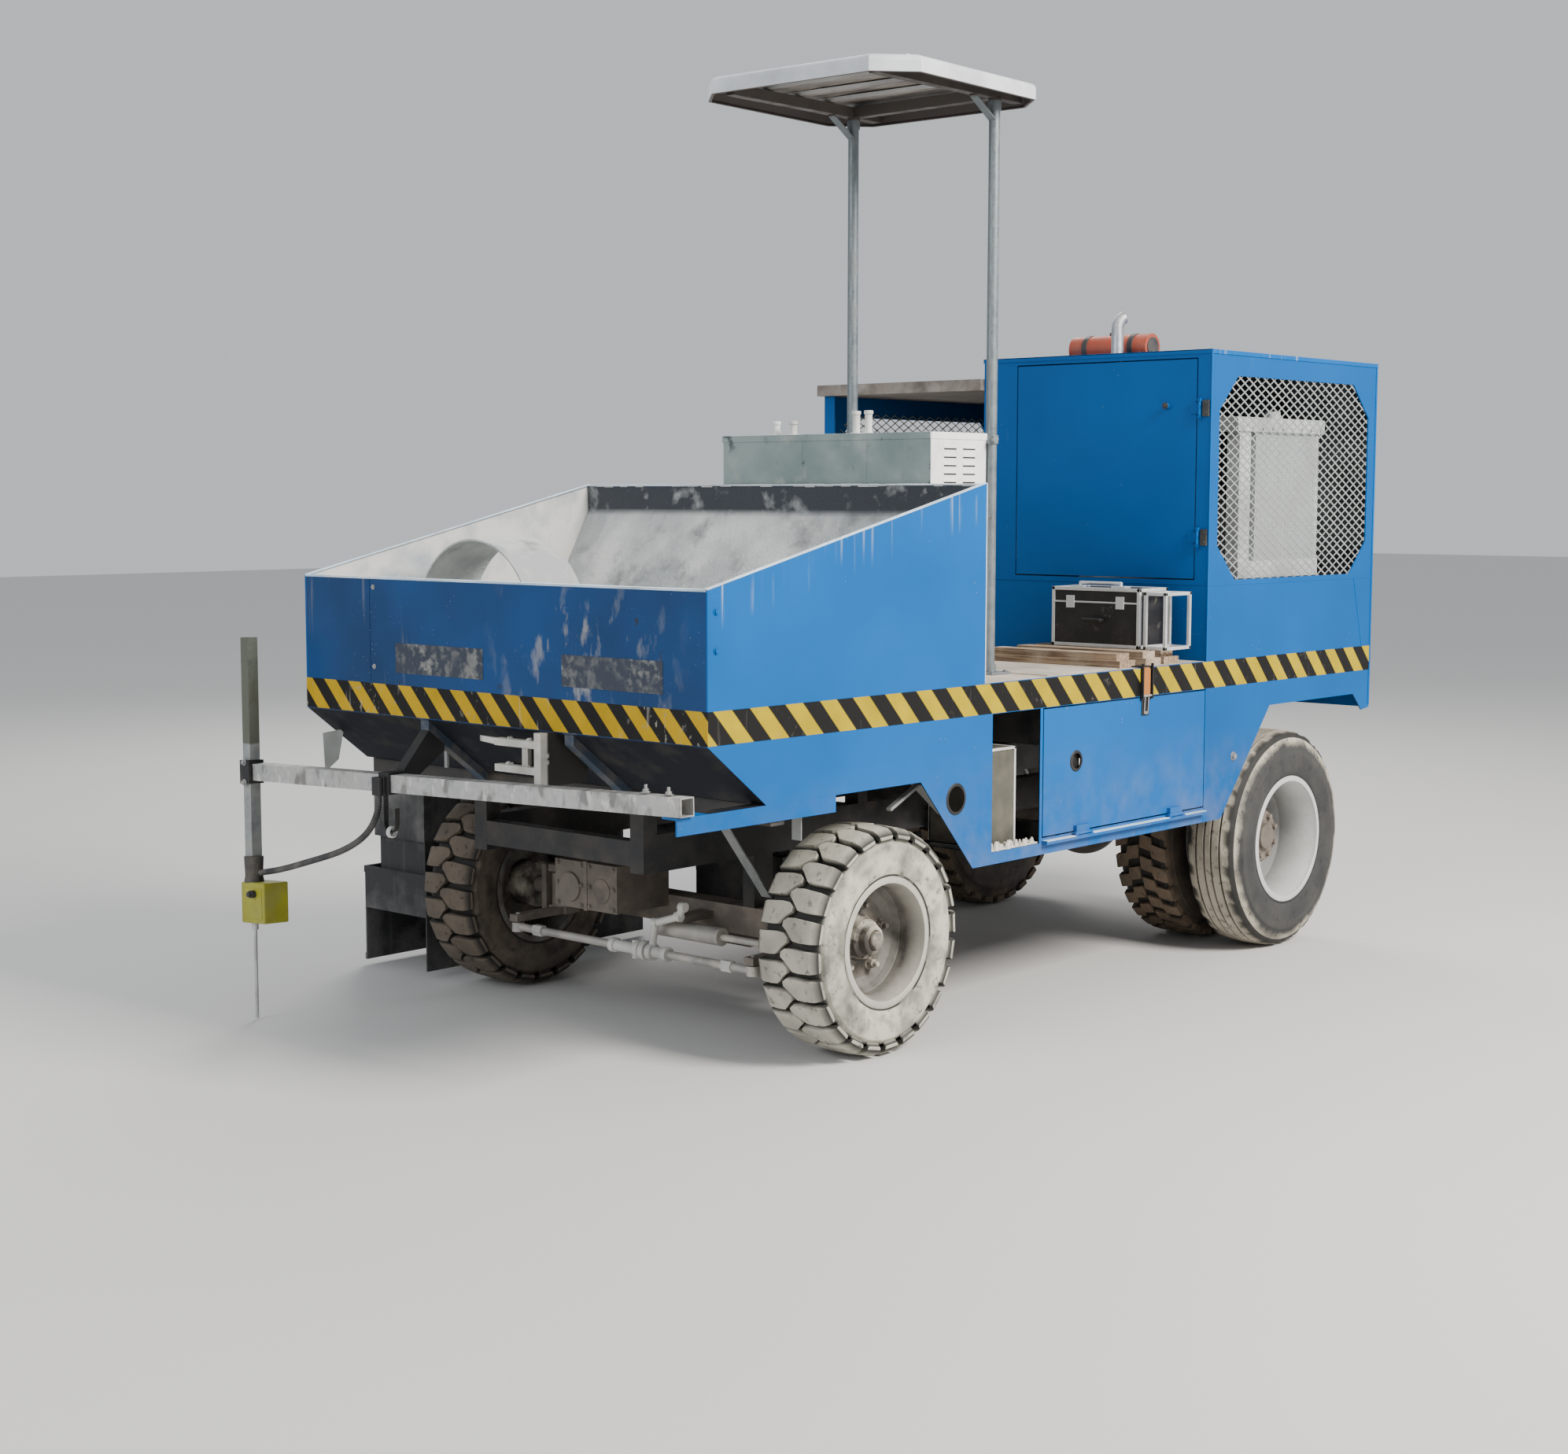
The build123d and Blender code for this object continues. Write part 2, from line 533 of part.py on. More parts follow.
# Axles
boss_r = 38.0
boss_half = 60.0
ear_gap = 1.0
ear_t = 25.0
cylinder_y = -160.0
cylinder_z = 333.0
cylinder_r = 30.0
with BuildPart() as front_axle:
    span(-kingpin_x, kingpin_x, -45, 45, front_r - 45, front_r + 50)
    for s in (-1, 1):
        with Locations((s * kingpin_x, 0, front_r)):
            Cylinder(boss_r + 12, 2 * boss_half)
            Cylinder(kingpin_r + running_gap, 2 * boss_half, mode=Mode.SUBTRACT)
    span(-300, 0, -290, -44, 380, 540)
    span(150, 210, cylinder_y - 30, -44, cylinder_z + cylinder_r + seat_gap, front_r + 20)
keep(front_axle.part, "front_axle")

with BuildPart() as rear_axle:
    rod_along((-425, wheelbase, rear_r), (425, wheelbase, rear_r), 60)
    for s in (-1, 1):
        rod_along((s * 424, wheelbase, rear_r), (s * 760, wheelbase, rear_r), stub_r)
    with Locations((0, wheelbase, rear_r)):
        Sphere(160)
keep(rear_axle.part, "rear_axle")

# Steering: a yoke around each axle boss, the wheel's spindle and a forward arm
ear_low_z = front_r - boss_half - ear_gap - ear_t
ear_high_z = front_r + boss_half + ear_gap
yoke_x = kingpin_x + boss_r + 12 + 6
for s, label in ((1, "left"), (-1, "right")):
    with BuildPart() as knuckle:
        for z in (ear_low_z, ear_high_z):
            span(s * (kingpin_x - 34), s * (yoke_x + 24), -34, 34, z, z + ear_t)
        span(s * yoke_x, s * (yoke_x + 24), -45, 45, ear_low_z, ear_high_z + ear_t)
        rod_along((s * kingpin_x, 0, ear_low_z), (s * kingpin_x, 0, ear_high_z + ear_t), kingpin_r)
        rod_along((s * (yoke_x + 23), 0, front_r), (s * 880, 0, front_r), spindle_r)
        span(s * (kingpin_x - 20), s * (kingpin_x + 20), -arm_reach - 22, -20, ear_low_z, ear_low_z + ear_t)
        with Locations((s * kingpin_x, -arm_reach, ear_low_z + ear_t / 2)):
            Cylinder(8 + running_gap, 40, mode=Mode.SUBTRACT)
    keep(knuckle.part, f"knuckle_{label}")

tie_top_z = ear_low_z - 6
with BuildPart() as tie_rod:
    rod_along((-kingpin_x, -arm_reach, tie_top_z - 14), (kingpin_x, -arm_reach, tie_top_z - 14), 14)
    for s in (-1, 1):
        rod_along((s * kingpin_x, -arm_reach, tie_top_z - 30), (s * kingpin_x, -arm_reach, tie_top_z + 2), 22)
        rod_along((s * kingpin_x, -arm_reach, tie_top_z - 1), (s * kingpin_x, -arm_reach, ear_low_z + 30), 8)
keep(tie_rod.part, "tie_rod")

with BuildPart() as steering_cylinder:
    rod_along((60, cylinder_y, cylinder_z), (360, cylinder_y, cylinder_z), cylinder_r)
    rod_along((180, cylinder_y, cylinder_z), (361, cylinder_y, cylinder_z), 12 + running_gap, Mode.SUBTRACT)
keep(steering_cylinder.part, "steering_cylinder")
with BuildPart() as steering_rod:
    rod_along((270, cylinder_y, cylinder_z), (kingpin_x - 2, cylinder_y, cylinder_z), 12)
    rod_along((kingpin_x, cylinder_y, cylinder_z - 14), (kingpin_x, cylinder_y, cylinder_z + 16), 20)
keep(steering_rod.part, "steering_rod")


# Wheels
def tyre(x_low, width, radius, bead, shoulder, facets):
    """A tyre's ring about the X axis, made of flat facets, one of them square to the ground."""
    outline = [(x_low + 20, bead), (x_low, bead + 45), (x_low, radius - shoulder),
               (x_low + shoulder * 0.6, radius), (x_low + width - shoulder * 0.6, radius),
               (x_low + width, radius - shoulder), (x_low + width, bead + 45), (x_low + width - 20, bead)]
    rings = [[spoke(r, k, facets, x) for x, r in outline] for k in range(facets)]
    faces = []
    for here, after in zip(rings, rings[1:] + rings[:1]):
        for j in range(len(outline)):
            i = (j + 1) % len(outline)
            faces.append(Face(Wire.make_polygon([here[j], here[i], after[i], after[j]], close=True)))
    add(Solid(Shell(faces)))


def spoke(radius, k, facets, x=0.0):
    """Corner k of a many-sided ring whose flats lie at the radius."""
    angle = radians(360 * (k + 0.5) / facets - 90)
    reach = radius / cos(radians(180 / facets))
    return Vector(x, reach * cos(angle), reach * sin(angle))


def turned(*outlines):
    """Rings about the X axis, each from an (x, radius) outline."""
    with BuildSketch(Plane.XY, mode=Mode.PRIVATE) as section:
        for points in outlines:
            with BuildLine():
                Polyline(*points, close=True)
            make_face()
    revolve(section.sketch, axis=Axis.X)


def barrel(inner, outer, bead):
    """Outline of a rim's barrel and flanges."""
    return [(inner, bead - 9), (outer, bead - 9), (outer, bead + 14), (outer - 6, bead + 14),
            (outer - 8, bead - 0.3), (inner + 8, bead - 0.3), (inner + 6, bead + 14), (inner, bead + 14)]


lip = 6.0
hub_inner_x = yoke_x + 30
for s, label in ((1, "left"), (-1, "right")):
    low = front_outer_x - front_w if s > 0 else -front_outer_x
    with BuildPart() as front_tyre:
        tyre(low, front_w, front_r - lug_depth, front_rim_r, 50, front_facets)
        for i in range(front_lugs):
            for half, lag in ((-1, -1), (1, 1)):
                corners = [spoke(front_r, 3 * i + lag + k, front_facets) for k in range(3)]
                corners += [spoke(front_r - 40, 3 * i + lag + k, front_facets) for k in (2, 1, 0)]
                centre_x = low + front_w / 2 + half * front_w * 0.24
                with BuildSketch(Plane.YZ.offset(centre_x - front_w * 0.22)):
                    with BuildLine():
                        Polyline(*[(c.Y, c.Z) for c in corners], close=True)
                    make_face()
                extrude(amount=front_w * 0.44)
    keep(Pos(0, 0, front_r) * front_tyre.part, f"front_tyre_{label}")
    with BuildPart() as front_rim:
        disc_x = s * 790
        bore = spindle_r + running_gap
        turned(barrel(low + lip, low + front_w - lip, front_rim_r),
               [(disc_x - 6, bore), (disc_x + 6, bore), (disc_x + 6, front_rim_r - 6),
                (disc_x - 6, front_rim_r - 6)],
               [(s * hub_inner_x, bore), (s * 870, bore), (s * 870, 62), (s * 800, 78),
                (s * hub_inner_x, 78)])
    keep(Pos(0, 0, front_r) * front_rim.part, f"front_rim_{label}")
    outer_low = rear_outer_x - rear_w if s > 0 else -rear_outer_x
    inner_low = outer_low - s * twin_pitch
    with BuildPart() as rear_tyres:
        for x_low in (outer_low, inner_low):
            tyre(x_low, rear_w, rear_r, rear_rim_r, 40, rear_facets)
    keep(Pos(0, wheelbase, rear_r) * rear_tyres.part, f"rear_tyres_{label}")
    mid_x = s * (rear_outer_x - rear_w / 2 - twin_pitch / 2)
    bore = stub_r + running_gap
    with BuildPart() as rear_rims:
        turned(barrel(outer_low + lip, outer_low + rear_w - lip, rear_rim_r),
               barrel(inner_low + lip, inner_low + rear_w - lip, rear_rim_r),
               [(mid_x - s * 110, rear_rim_r - 7), (mid_x - s * 98, rear_rim_r - 7), (mid_x, 130),
                (mid_x, 100), (mid_x - s * 12, 100), (mid_x - s * 12, 130)],
               [(mid_x + s * 110, rear_rim_r - 7), (mid_x + s * 98, rear_rim_r - 7), (mid_x - s, 130),
                (mid_x - s, 100), (mid_x + s * 12, 100), (mid_x + s * 12, 130)],
               [(s * 440, bore), (s * 780, bore), (s * 780, 90), (mid_x + s * 13, 105), (s * 440, 105)])
    keep(Pos(0, wheelbase, rear_r) * rear_rims.part, f"rear_rims_{label}")

# Sensor boom across the front, its left bracket, its hanger and the tow clevis
angle_w = 60.0
bracket_y = (-960.0, -270.0)
with BuildPart() as boom_bracket:
    span(body_half - angle_w, body_half, *bracket_y, arch_z - angle_t, arch_z - 0.1)
    span(body_half - angle_t, body_half, *bracket_y, arch_z - 52, arch_z - 0.1)
keep(boom_bracket.part, "boom_bracket")

boom_size = 56.0
boom_near = Vector(950.0, -930.0, 893.5)
boom_far = Vector(-1020.0, -975.0, 839.0)
boom_way = (boom_far - boom_near).normalized()
boom_plane = Plane(origin=boom_near, x_dir=boom_way.cross(Vector(0, 0, 1)), z_dir=boom_way)
with BuildPart() as sensor_boom:
    with BuildSketch(boom_plane):
        Rectangle(boom_size, boom_size)
        Rectangle(boom_size - 8, boom_size - 8, mode=Mode.SUBTRACT)
    extrude(amount=(boom_far - boom_near).length)
keep(sensor_boom.part, "sensor_boom")


def rib_low(y):
    """Height just under a rib of the front panel at a given y."""
    return tape_low_z + slope * (y - front_y) - rib_h - seat_gap


hose_r = 10.0
hose_points = [(-345, -1002, 820), (-345, -1002, 794), (-360, -1003, 748), (-390, -1004, 706),
               (-436, -1003, 671), (-496, -1004, 639), (-571, -1003, 610), (-657, -1004, 584),
               (-745, -1003, 559), (-832, -1004, 534), (-914, -1003, 514), (-990, -1003, 500)]
strap_at = (boom_near.X + 330) / (boom_near.X - boom_far.X) * (boom_far - boom_near).length
with BuildPart() as boom_strap:
    with BuildSketch(boom_plane.offset(strap_at - 25)):
        Rectangle(boom_size + 14, boom_size + 14)
        Rectangle(boom_size + 2 * seat_gap, boom_size + 2 * seat_gap, mode=Mode.SUBTRACT)
    extrude(amount=50)
    with BuildSketch(Plane.YZ.offset(rib_xs[0])):
        with BuildLine():
            Polyline((-926, 850), (-926, 900), (-824, rib_low(-824)), (-760, rib_low(-760)),
                     (-760, rib_low(-760) - 20), (-905, 850), close=True)
        make_face()
    extrude(amount=rib_w)
    span(-365, -325, -1014, -990, hose_points[0][2], 878)
keep(boom_strap.part, "boom_strap")

# Tow clevis under the front edge
clevis_x = (270.0, 300.0)
clevis_pin_r = 16.0
with BuildPart() as tow_clevis:
    with BuildSketch(Plane.YZ.offset(clevis_x[0])):
        with BuildLine():
            Polyline((-895, 890), (-895, tape_low_z), (front_y, tape_low_z),
                     (-700, tape_low_z + slope * (-700 - front_y)), (-700, 890), close=True)
        make_face()
    extrude(amount=clevis_x[1] - clevis_x[0])
    for z in (925.0, 1005.0):
        span(90, clevis_x[0] + 1, -895, -835, z, z + 22)
    with Locations((130, -865, 976)):
        Cylinder(clevis_pin_r, 150, mode=Mode.SUBTRACT)
keep(tow_clevis.part, "tow_clevis")

# Sensor pole, leaning as one line from the rod's tip, its clamp and the sensor on it
pole_foot = Vector(-989.0, -1028.0, 5.0)
pole_head = Vector(-1082.0, -963.0, 1290.0)
pole_way = (pole_head - pole_foot).normalized()
pole_len = (pole_head - pole_foot).length
pole_plane = Plane(origin=pole_foot, x_dir=Vector(0, 1, 0).cross(pole_way), z_dir=pole_way)
pole_size = 40.0
pole_low = 550.0
box_low = 325.0
box_h = 138.0
box_shift = (33.0, 18.0)
clamp_mid = 836.0
with BuildPart() as sensor_pole:
    with BuildSketch(pole_plane.offset(pole_low)):
        Rectangle(pole_size, pole_size)
        Rectangle(pole_size - 6, pole_size - 6, mode=Mode.SUBTRACT)
    extrude(amount=pole_len - pole_low)
keep(sensor_pole.part, "sensor_pole")
with BuildPart() as pole_clamp:
    with BuildSketch(pole_plane.offset(clamp_mid - 40)):
        Rectangle(pole_size + 12, pole_size + 20)
    extrude(amount=80)
    span(boom_far.X - 40, boom_far.X - 2.0, boom_far.Y - 28, boom_far.Y + 28, boom_far.Z - 28, boom_far.Z + 28)
    with BuildSketch(pole_plane.offset(clamp_mid - 60)):
        Rectangle(pole_size + 2 * seat_gap, pole_size + 2 * seat_gap)
    extrude(amount=120, mode=Mode.SUBTRACT)
keep(pole_clamp.part, "pole_clamp")
with BuildPart() as sensor_unit:
    with BuildSketch(pole_plane.offset(box_low)):
        with Locations(box_shift):
            Rectangle(130, 100)
    extrude(amount=box_h)
    with BuildSketch(pole_plane.offset(box_low + box_h - 1)):
        Circle(34)
    extrude(amount=pole_low - box_low - box_h + 1)
    with BuildSketch(pole_plane):
        Circle(6)
    extrude(amount=box_low + 1)
    hose_end_way = (Vector(*hose_points[-1]) - Vector(*hose_points[-2])).normalized()
    rod_along(hose_points[-1], tuple(Vector(*hose_points[-1]) + hose_end_way * 25), 14)
keep(sensor_unit.part, "sensor_unit")

# Sensor hose: hangs from the strap and runs to the sensor's neck
bend_radii = []
for a, b, c in zip(hose_points, hose_points[1:], hose_points[2:]):
    before, after = Vector(*b) - Vector(*a), Vector(*c) - Vector(*b)
    bend = radians(before.get_angle(after))
    bend_radii.append(0.45 * min(before.length, after.length) / tan(bend / 2))
with BuildPart() as sensor_hose:
    with BuildLine():
        FilletPolyline(*hose_points, radius=bend_radii)
    with BuildSketch(Plane(origin=hose_points[0], z_dir=(0, 0, -1))):
        Circle(hose_r)
    sweep()
keep(sensor_hose.part, "sensor_hose")
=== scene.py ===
# %% [markdown]
# # Curb machine
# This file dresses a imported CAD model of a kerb-laying machine, one piece and one finish at a time. The CAD
# solids give every place and size. Blender adds the tread, mesh, trim, bolts, paint, dust and wear. Lengths
# are metres: -Y is the hopper end, +X the machine's left side and +Z up.

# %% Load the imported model
import random
from math import atan2, cos, pi, radians, sin

import bmesh
import bpy
from mathutils import Matrix, Quaternion, Vector


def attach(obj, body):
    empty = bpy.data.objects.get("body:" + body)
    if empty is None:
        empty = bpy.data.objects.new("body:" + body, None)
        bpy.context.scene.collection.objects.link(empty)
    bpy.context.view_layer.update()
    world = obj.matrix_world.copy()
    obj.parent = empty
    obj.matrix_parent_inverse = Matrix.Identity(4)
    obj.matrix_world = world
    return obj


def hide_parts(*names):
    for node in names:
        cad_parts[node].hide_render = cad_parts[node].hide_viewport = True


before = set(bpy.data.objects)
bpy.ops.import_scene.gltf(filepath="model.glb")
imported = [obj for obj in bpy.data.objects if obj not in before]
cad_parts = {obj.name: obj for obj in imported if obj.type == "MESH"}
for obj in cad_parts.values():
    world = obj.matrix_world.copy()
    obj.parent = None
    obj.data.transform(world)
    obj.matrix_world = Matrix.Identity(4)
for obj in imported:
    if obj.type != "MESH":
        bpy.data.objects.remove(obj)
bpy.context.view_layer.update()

chance = random.Random(41)

# %% [markdown]
# The sizes that drive the added pieces come from the CAD nodes' own corners, to a tenth of a millimetre. A
# place on a wheel's axle is given as (y, z), because every axle runs along X. Twin wheels share one node,
# so the width of one tyre is typed in and the step between the two follows from it.

# %% Driving sizes
def cad_span(name):
    """Lowest and highest corner of a CAD node."""
    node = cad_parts[name]
    corners = [node.matrix_world @ Vector(corner) for corner in node.bound_box]
    return [tuple(round(pick(corner[i] for corner in corners), 4) for i in range(3)) for pick in (min, max)]


body_side = -cad_span("side_panel_right")[0][0]
skin = body_side - 0.0002
inner_side = body_side - 0.0015
hopper_front = cad_span("front_panel")[0][1]
body_rear = cad_span("engine_housing")[1][1]
rim_front = (hopper_front, cad_span("front_panel")[1][2])
rim_back = (cad_span("hopper_liner")[1][1], cad_span("side_panel_left")[1][2])
rim_slope = (rim_back[1] - rim_front[1]) / (rim_back[0] - rim_front[0])
console_low, console_high = cad_span("console_cabinet")
deck_top = console_low[2]
tape_low, tape_high = 1.056, 1.155

front_low, front_high = cad_span("front_tyre_left")
rear_low, rear_high = cad_span("rear_tyres_left")
front_outer, rear_outer = front_high[0], rear_high[0]
front_radius, rear_radius = front_high[2] / 2, rear_high[2] / 2
front_axle_at = ((front_low[1] + front_high[1]) / 2, front_radius)
rear_axle_at = ((rear_low[1] + rear_high[1]) / 2, rear_radius)
front_width, rear_width = round(front_high[0] - front_low[0], 4), 0.235
twin_step = round(rear_high[0] - rear_low[0], 4) - rear_width
front_bead, rear_bead = 0.196, 0.236

canopy_low, canopy_high = cad_span("canopy_roof")
canopy_mid = Vector([round((a + b) / 2, 4) for a, b in zip(canopy_low[:2], canopy_high[:2])] + [0.0])
canopy_turn, canopy_half, canopy_cut = radians(2.4), 0.445, 0.118
print("body half width:", body_side, "tyre radii:", front_radius, rear_radius)

# %% [markdown]
# The camera stands where the photograph was taken, off the front left corner and a little above the hopper.
# Its place was worked out from the machine's own edges, so it is typed in here as numbers. A camera looks
# along its own -Z, and `to_track_quat` turns that axis towards the view direction.

# %% Camera
eye = Vector((5.383, -5.494, 1.768))
look = Vector((-0.66203, 0.74263, -0.10113))
camera_data = bpy.data.cameras.new("photo_camera")
camera_data.lens = 52.22
camera_data.sensor_width = 36.0
camera = bpy.data.objects.new("photo_camera", camera_data)
camera.location = eye
camera.rotation_mode = "QUATERNION"
camera.rotation_quaternion = look.to_track_quat("-Z", "Y") @ Quaternion((0, 0, 1), radians(0.06))
bpy.context.scene.collection.objects.link(camera)
bpy.context.scene.camera = camera

# %% [markdown]
# Shader maths is easier to read as ordinary sums. `Reading` wraps one output of a node, and each operator
# on it adds the Math node for that sum, so `1 - mask` or `height * 2` can be typed as they are. `Finish` is
# one material: it makes its nodes, reads the place on the object and fills the shader at the end.

# %% Readings and finishes
class Reading:
    """One node output that Python's operators turn into Math nodes."""

    def __init__(self, finish, socket):
        self.finish, self.socket = finish, socket

    def pair(self, operation, first, second):
        return self.finish.node("ShaderNodeMath", {"operation": operation}, {0: first, 1: second})

    def __add__(self, other): return self.pair("ADD", self, other)
    def __radd__(self, other): return self.pair("ADD", other, self)
    def __sub__(self, other): return self.pair("SUBTRACT", self, other)
    def __rsub__(self, other): return self.pair("SUBTRACT", other, self)
    def __mul__(self, other): return self.pair("MULTIPLY", self, other)
    def __rmul__(self, other): return self.pair("MULTIPLY", other, self)
    def __truediv__(self, other): return self.pair("DIVIDE", self, other)
    def __mod__(self, other): return self.pair("FLOORED_MODULO", self, other)
    def __gt__(self, other): return self.pair("GREATER_THAN", self, other)
    def __lt__(self, other): return self.pair("LESS_THAN", self, other)
    def __abs__(self): return self.finish.node("ShaderNodeMath", {"operation": "ABSOLUTE"}, {0: self})

    def between(self, low, high):
        """0 at low, 1 at high, and clipped outside them."""
        return self.finish.node("ShaderNodeMapRange", {"clamp": True},
                                {0: self, 1: low, 2: high, 3: 0.0, 4: 1.0})


class Finish:
    """One material, from its nodes to its shader."""

    def __init__(self, name, **constants):
        self.material = bpy.data.materials.new(name)
        self.material.use_nodes = True
        self.tree = self.material.node_tree
        self.shader = self.tree.nodes["Principled BSDF"]
        for socket, value in constants.items():
            self.shader.inputs[socket.replace("_", " ")].default_value = value
        self.place = self.node("ShaderNodeTexCoord", out="Object")

    def node(self, kind, settings=None, sockets=None, out=0):
        """Any node, its settings first and then the values or links of its sockets."""
        made = self.tree.nodes.new(kind)
        for key, value in (settings or {}).items():
            setattr(made, key, value)
        for key, value in (sockets or {}).items():
            if isinstance(value, Reading):
                self.tree.links.new(value.socket, made.inputs[key])
            else:
                made.inputs[key].default_value = value
        return Reading(self, made.outputs[out])

    def along(self, direction, origin=(0, 0, 0)):
        """Distance along a direction, in metres."""
        moved = self.node("ShaderNodeVectorMath", {"operation": "SUBTRACT"}, {0: self.place, 1: origin})
        return self.node("ShaderNodeVectorMath", {"operation": "DOT_PRODUCT"}, {0: moved, 1: direction},
                         out="Value")

    def from_axle(self, centre):
        """Distance from a wheel's axle, which runs along X."""
        flat = self.node("ShaderNodeVectorMath", {"operation": "MULTIPLY_ADD"},
                         {0: self.place, 1: (0, 1, 1), 2: (0, -centre[0], -centre[1])})
        return self.node("ShaderNodeVectorMath", {"operation": "LENGTH"}, {0: flat}, out="Value")

    def noise(self, scale, detail=3.0, stretch=(1, 1, 1)):
        """Soft random patches, 0 to 1, scale of them to a metre."""
        spot = self.node("ShaderNodeVectorMath", {"operation": "MULTIPLY"}, {0: self.place, 1: stretch})
        return self.node("ShaderNodeTexNoise", {},
                         {"Vector": spot, "Scale": scale, "Detail": detail, "Roughness": 0.55})

    def cells(self, scale, out="Distance"):
        """Random cells, such as grit or zinc flowers."""
        return self.node("ShaderNodeTexVoronoi", {}, {"Vector": self.place, "Scale": scale}, out=out)

    def mix(self, under, over, mask):
        """A colour over another where the mask is 1."""
        return self.node("ShaderNodeMix", {"data_type": "RGBA"},
                         {0: mask, 6: colour(under), 7: colour(over)}, out=2)

    def inside(self, low, high):
        """1 within a box of object coordinates, 0 outside it."""
        spans = [(self.along(way) > start) * (self.along(way) < end)
                 for way, start, end in zip(((1, 0, 0), (0, 1, 0), (0, 0, 1)), low, high)]
        return spans[0] * spans[1] * spans[2]

    def done(self, base, roughness=None, bump=None, depth=0.001, metallic=None, coat=None):
        """Fill the shader and hand the material over."""
        for socket, value in (("Base Color", colour(base)), ("Roughness", roughness), ("Metallic", metallic),
                              ("Coat Weight", coat)):
            if isinstance(value, Reading):
                self.tree.links.new(value.socket, self.shader.inputs[socket])
            elif value is not None:
                self.shader.inputs[socket].default_value = value
        if bump is not None:
            raised = self.node("ShaderNodeBump", {}, {"Height": bump, "Strength": 1.0, "Distance": depth},
                               out="Normal")
            self.tree.links.new(raised.socket, self.shader.inputs["Normal"])
        return self.material


def colour(value):
    """A colour tuple with its alpha, or a reading as it is."""
    return value if isinstance(value, Reading) else (*value[:3], 1.0)


def shade(tint, factor):
    """A colour times a factor: darker below 1, lighter above it."""
    return tuple(factor * part for part in tint)


# %% [markdown]
# The body is sprayed in a strong blue enamel. Cement dust lies on its lower half, thin pale drips run down
# from the rim, and the film has fine scratches. Each is a mask from noise, and the masks mix colours and
# raise roughness. Inner faces are found by boxes: the caked hopper, and the underside and the engine room,
# which are painted nearly black as shade, with grey patches of painted light in the engine room.

# %% Blue enamel
cement = (0.46, 0.43, 0.38)
dust_brown = (0.36, 0.29, 0.21)
hopper_room = ((-inner_side, hopper_front + 0.005, deck_top), (inner_side, 0.479, 1.90))
under_room = ((-inner_side, hopper_front + 0.005, 0.0), (inner_side, 3.13, 1.150))
engine_room = ((-0.9315, 1.8565, 1.150), (0.9315, 3.1325, 2.2895))


def enamel(name, base, dull, dust_top=0.95, dust_low=0.5, wear=0.5, drips=0.35, rim_runs=0.0):
    """Sprayed enamel with dust below, pale drips, fine scratches, a caked hopper and painted shade on inner
    faces.
    """
    f = Finish(name, Coat_Roughness=0.2, Specular_IOR_Level=0.12)
    height = f.along((0, 0, 1))
    broad = f.noise(1.7, 3)
    tone = f.mix(base, dull, broad.between(0.35, 0.7))
    streak = f.noise(1.0, 4, (34, 34, 1.6)).between(0.69, 0.8) * f.noise(2.6, 2).between(0.5, 0.68)
    if rim_runs:
        below_rim = rim_front[1] - rim_slope * rim_front[0] - f.along((0, -rim_slope, 1))
        run = f.noise(1.0, 3, (46, 46, 1.2)).between(0.56, 0.7) * (1 - below_rim.between(0.004, 0.13))
        streak = streak + run * f.noise(2.3, 2).between(0.42, 0.56) * rim_runs
    tone = f.mix(tone, (0.55, 0.62, 0.68), streak * drips)
    dust = (1 - height.between(dust_low, dust_top)) * f.noise(9, 5).between(0.36, 0.74)
    tone = f.mix(tone, dust_brown, dust * 0.26)
    spots = (1 - f.cells(44).between(0.05, 0.11)) * f.noise(5, 2).between(0.6, 0.68)
    tone = f.mix(tone, cement, spots * wear)
    scratch = f.noise(1.0, 2, (3, 90, 26)).between(0.73, 0.77) * f.noise(3.1, 2).between(0.56, 0.7)
    tone = f.mix(tone, (0.12, 0.26, 0.42), scratch * wear)
    caked = f.inside(*hopper_room)
    crusted = f.mix((0.66, 0.65, 0.62), (0.36, 0.4, 0.44), f.noise(6, 5).between(0.46, 0.66))
    tone = f.mix(tone, crusted, caked)
    # The underside and the engine room are painted nearly black: painted shade.
    shaded = f.inside(*under_room) + f.inside(*engine_room)
    painted_shade = f.mix((0.012, 0.014, 0.018), (0.05, 0.045, 0.038), f.noise(9, 5).between(0.46, 0.7))
    tone = f.mix(tone, painted_shade, shaded)
    # Grey patches in the engine room are painted light, as if it were lit behind the mesh.
    tone = f.mix(tone, (0.15, 0.17, 0.17), f.inside(*engine_room) * f.noise(7, 4).between(0.3, 0.6))
    rough = 0.4 + broad * 0.1 + dust * 0.35 + (streak + spots) * 0.25 + (caked + shaded) * 0.3
    bump = f.noise(160, 2) * 0.12 + spots + streak * 0.3 + f.noise(2.4, 2) * 2.0
    return f.done(tone, rough, bump, 0.0009, coat=0.06 - dust * 0.05)


blue = enamel("blue_enamel", (0.0, 0.112, 0.38), (0.0, 0.093, 0.32), drips=0.5, rim_runs=1.0)
blue_door = enamel("blue_door_enamel", (0.0, 0.115, 0.39), (0.0, 0.095, 0.33), drips=0.2)
blue_housing = enamel("blue_housing_enamel", (0.0, 0.098, 0.34), (0.0, 0.082, 0.29), 0.9, 0.6, 0.35, 0.2)
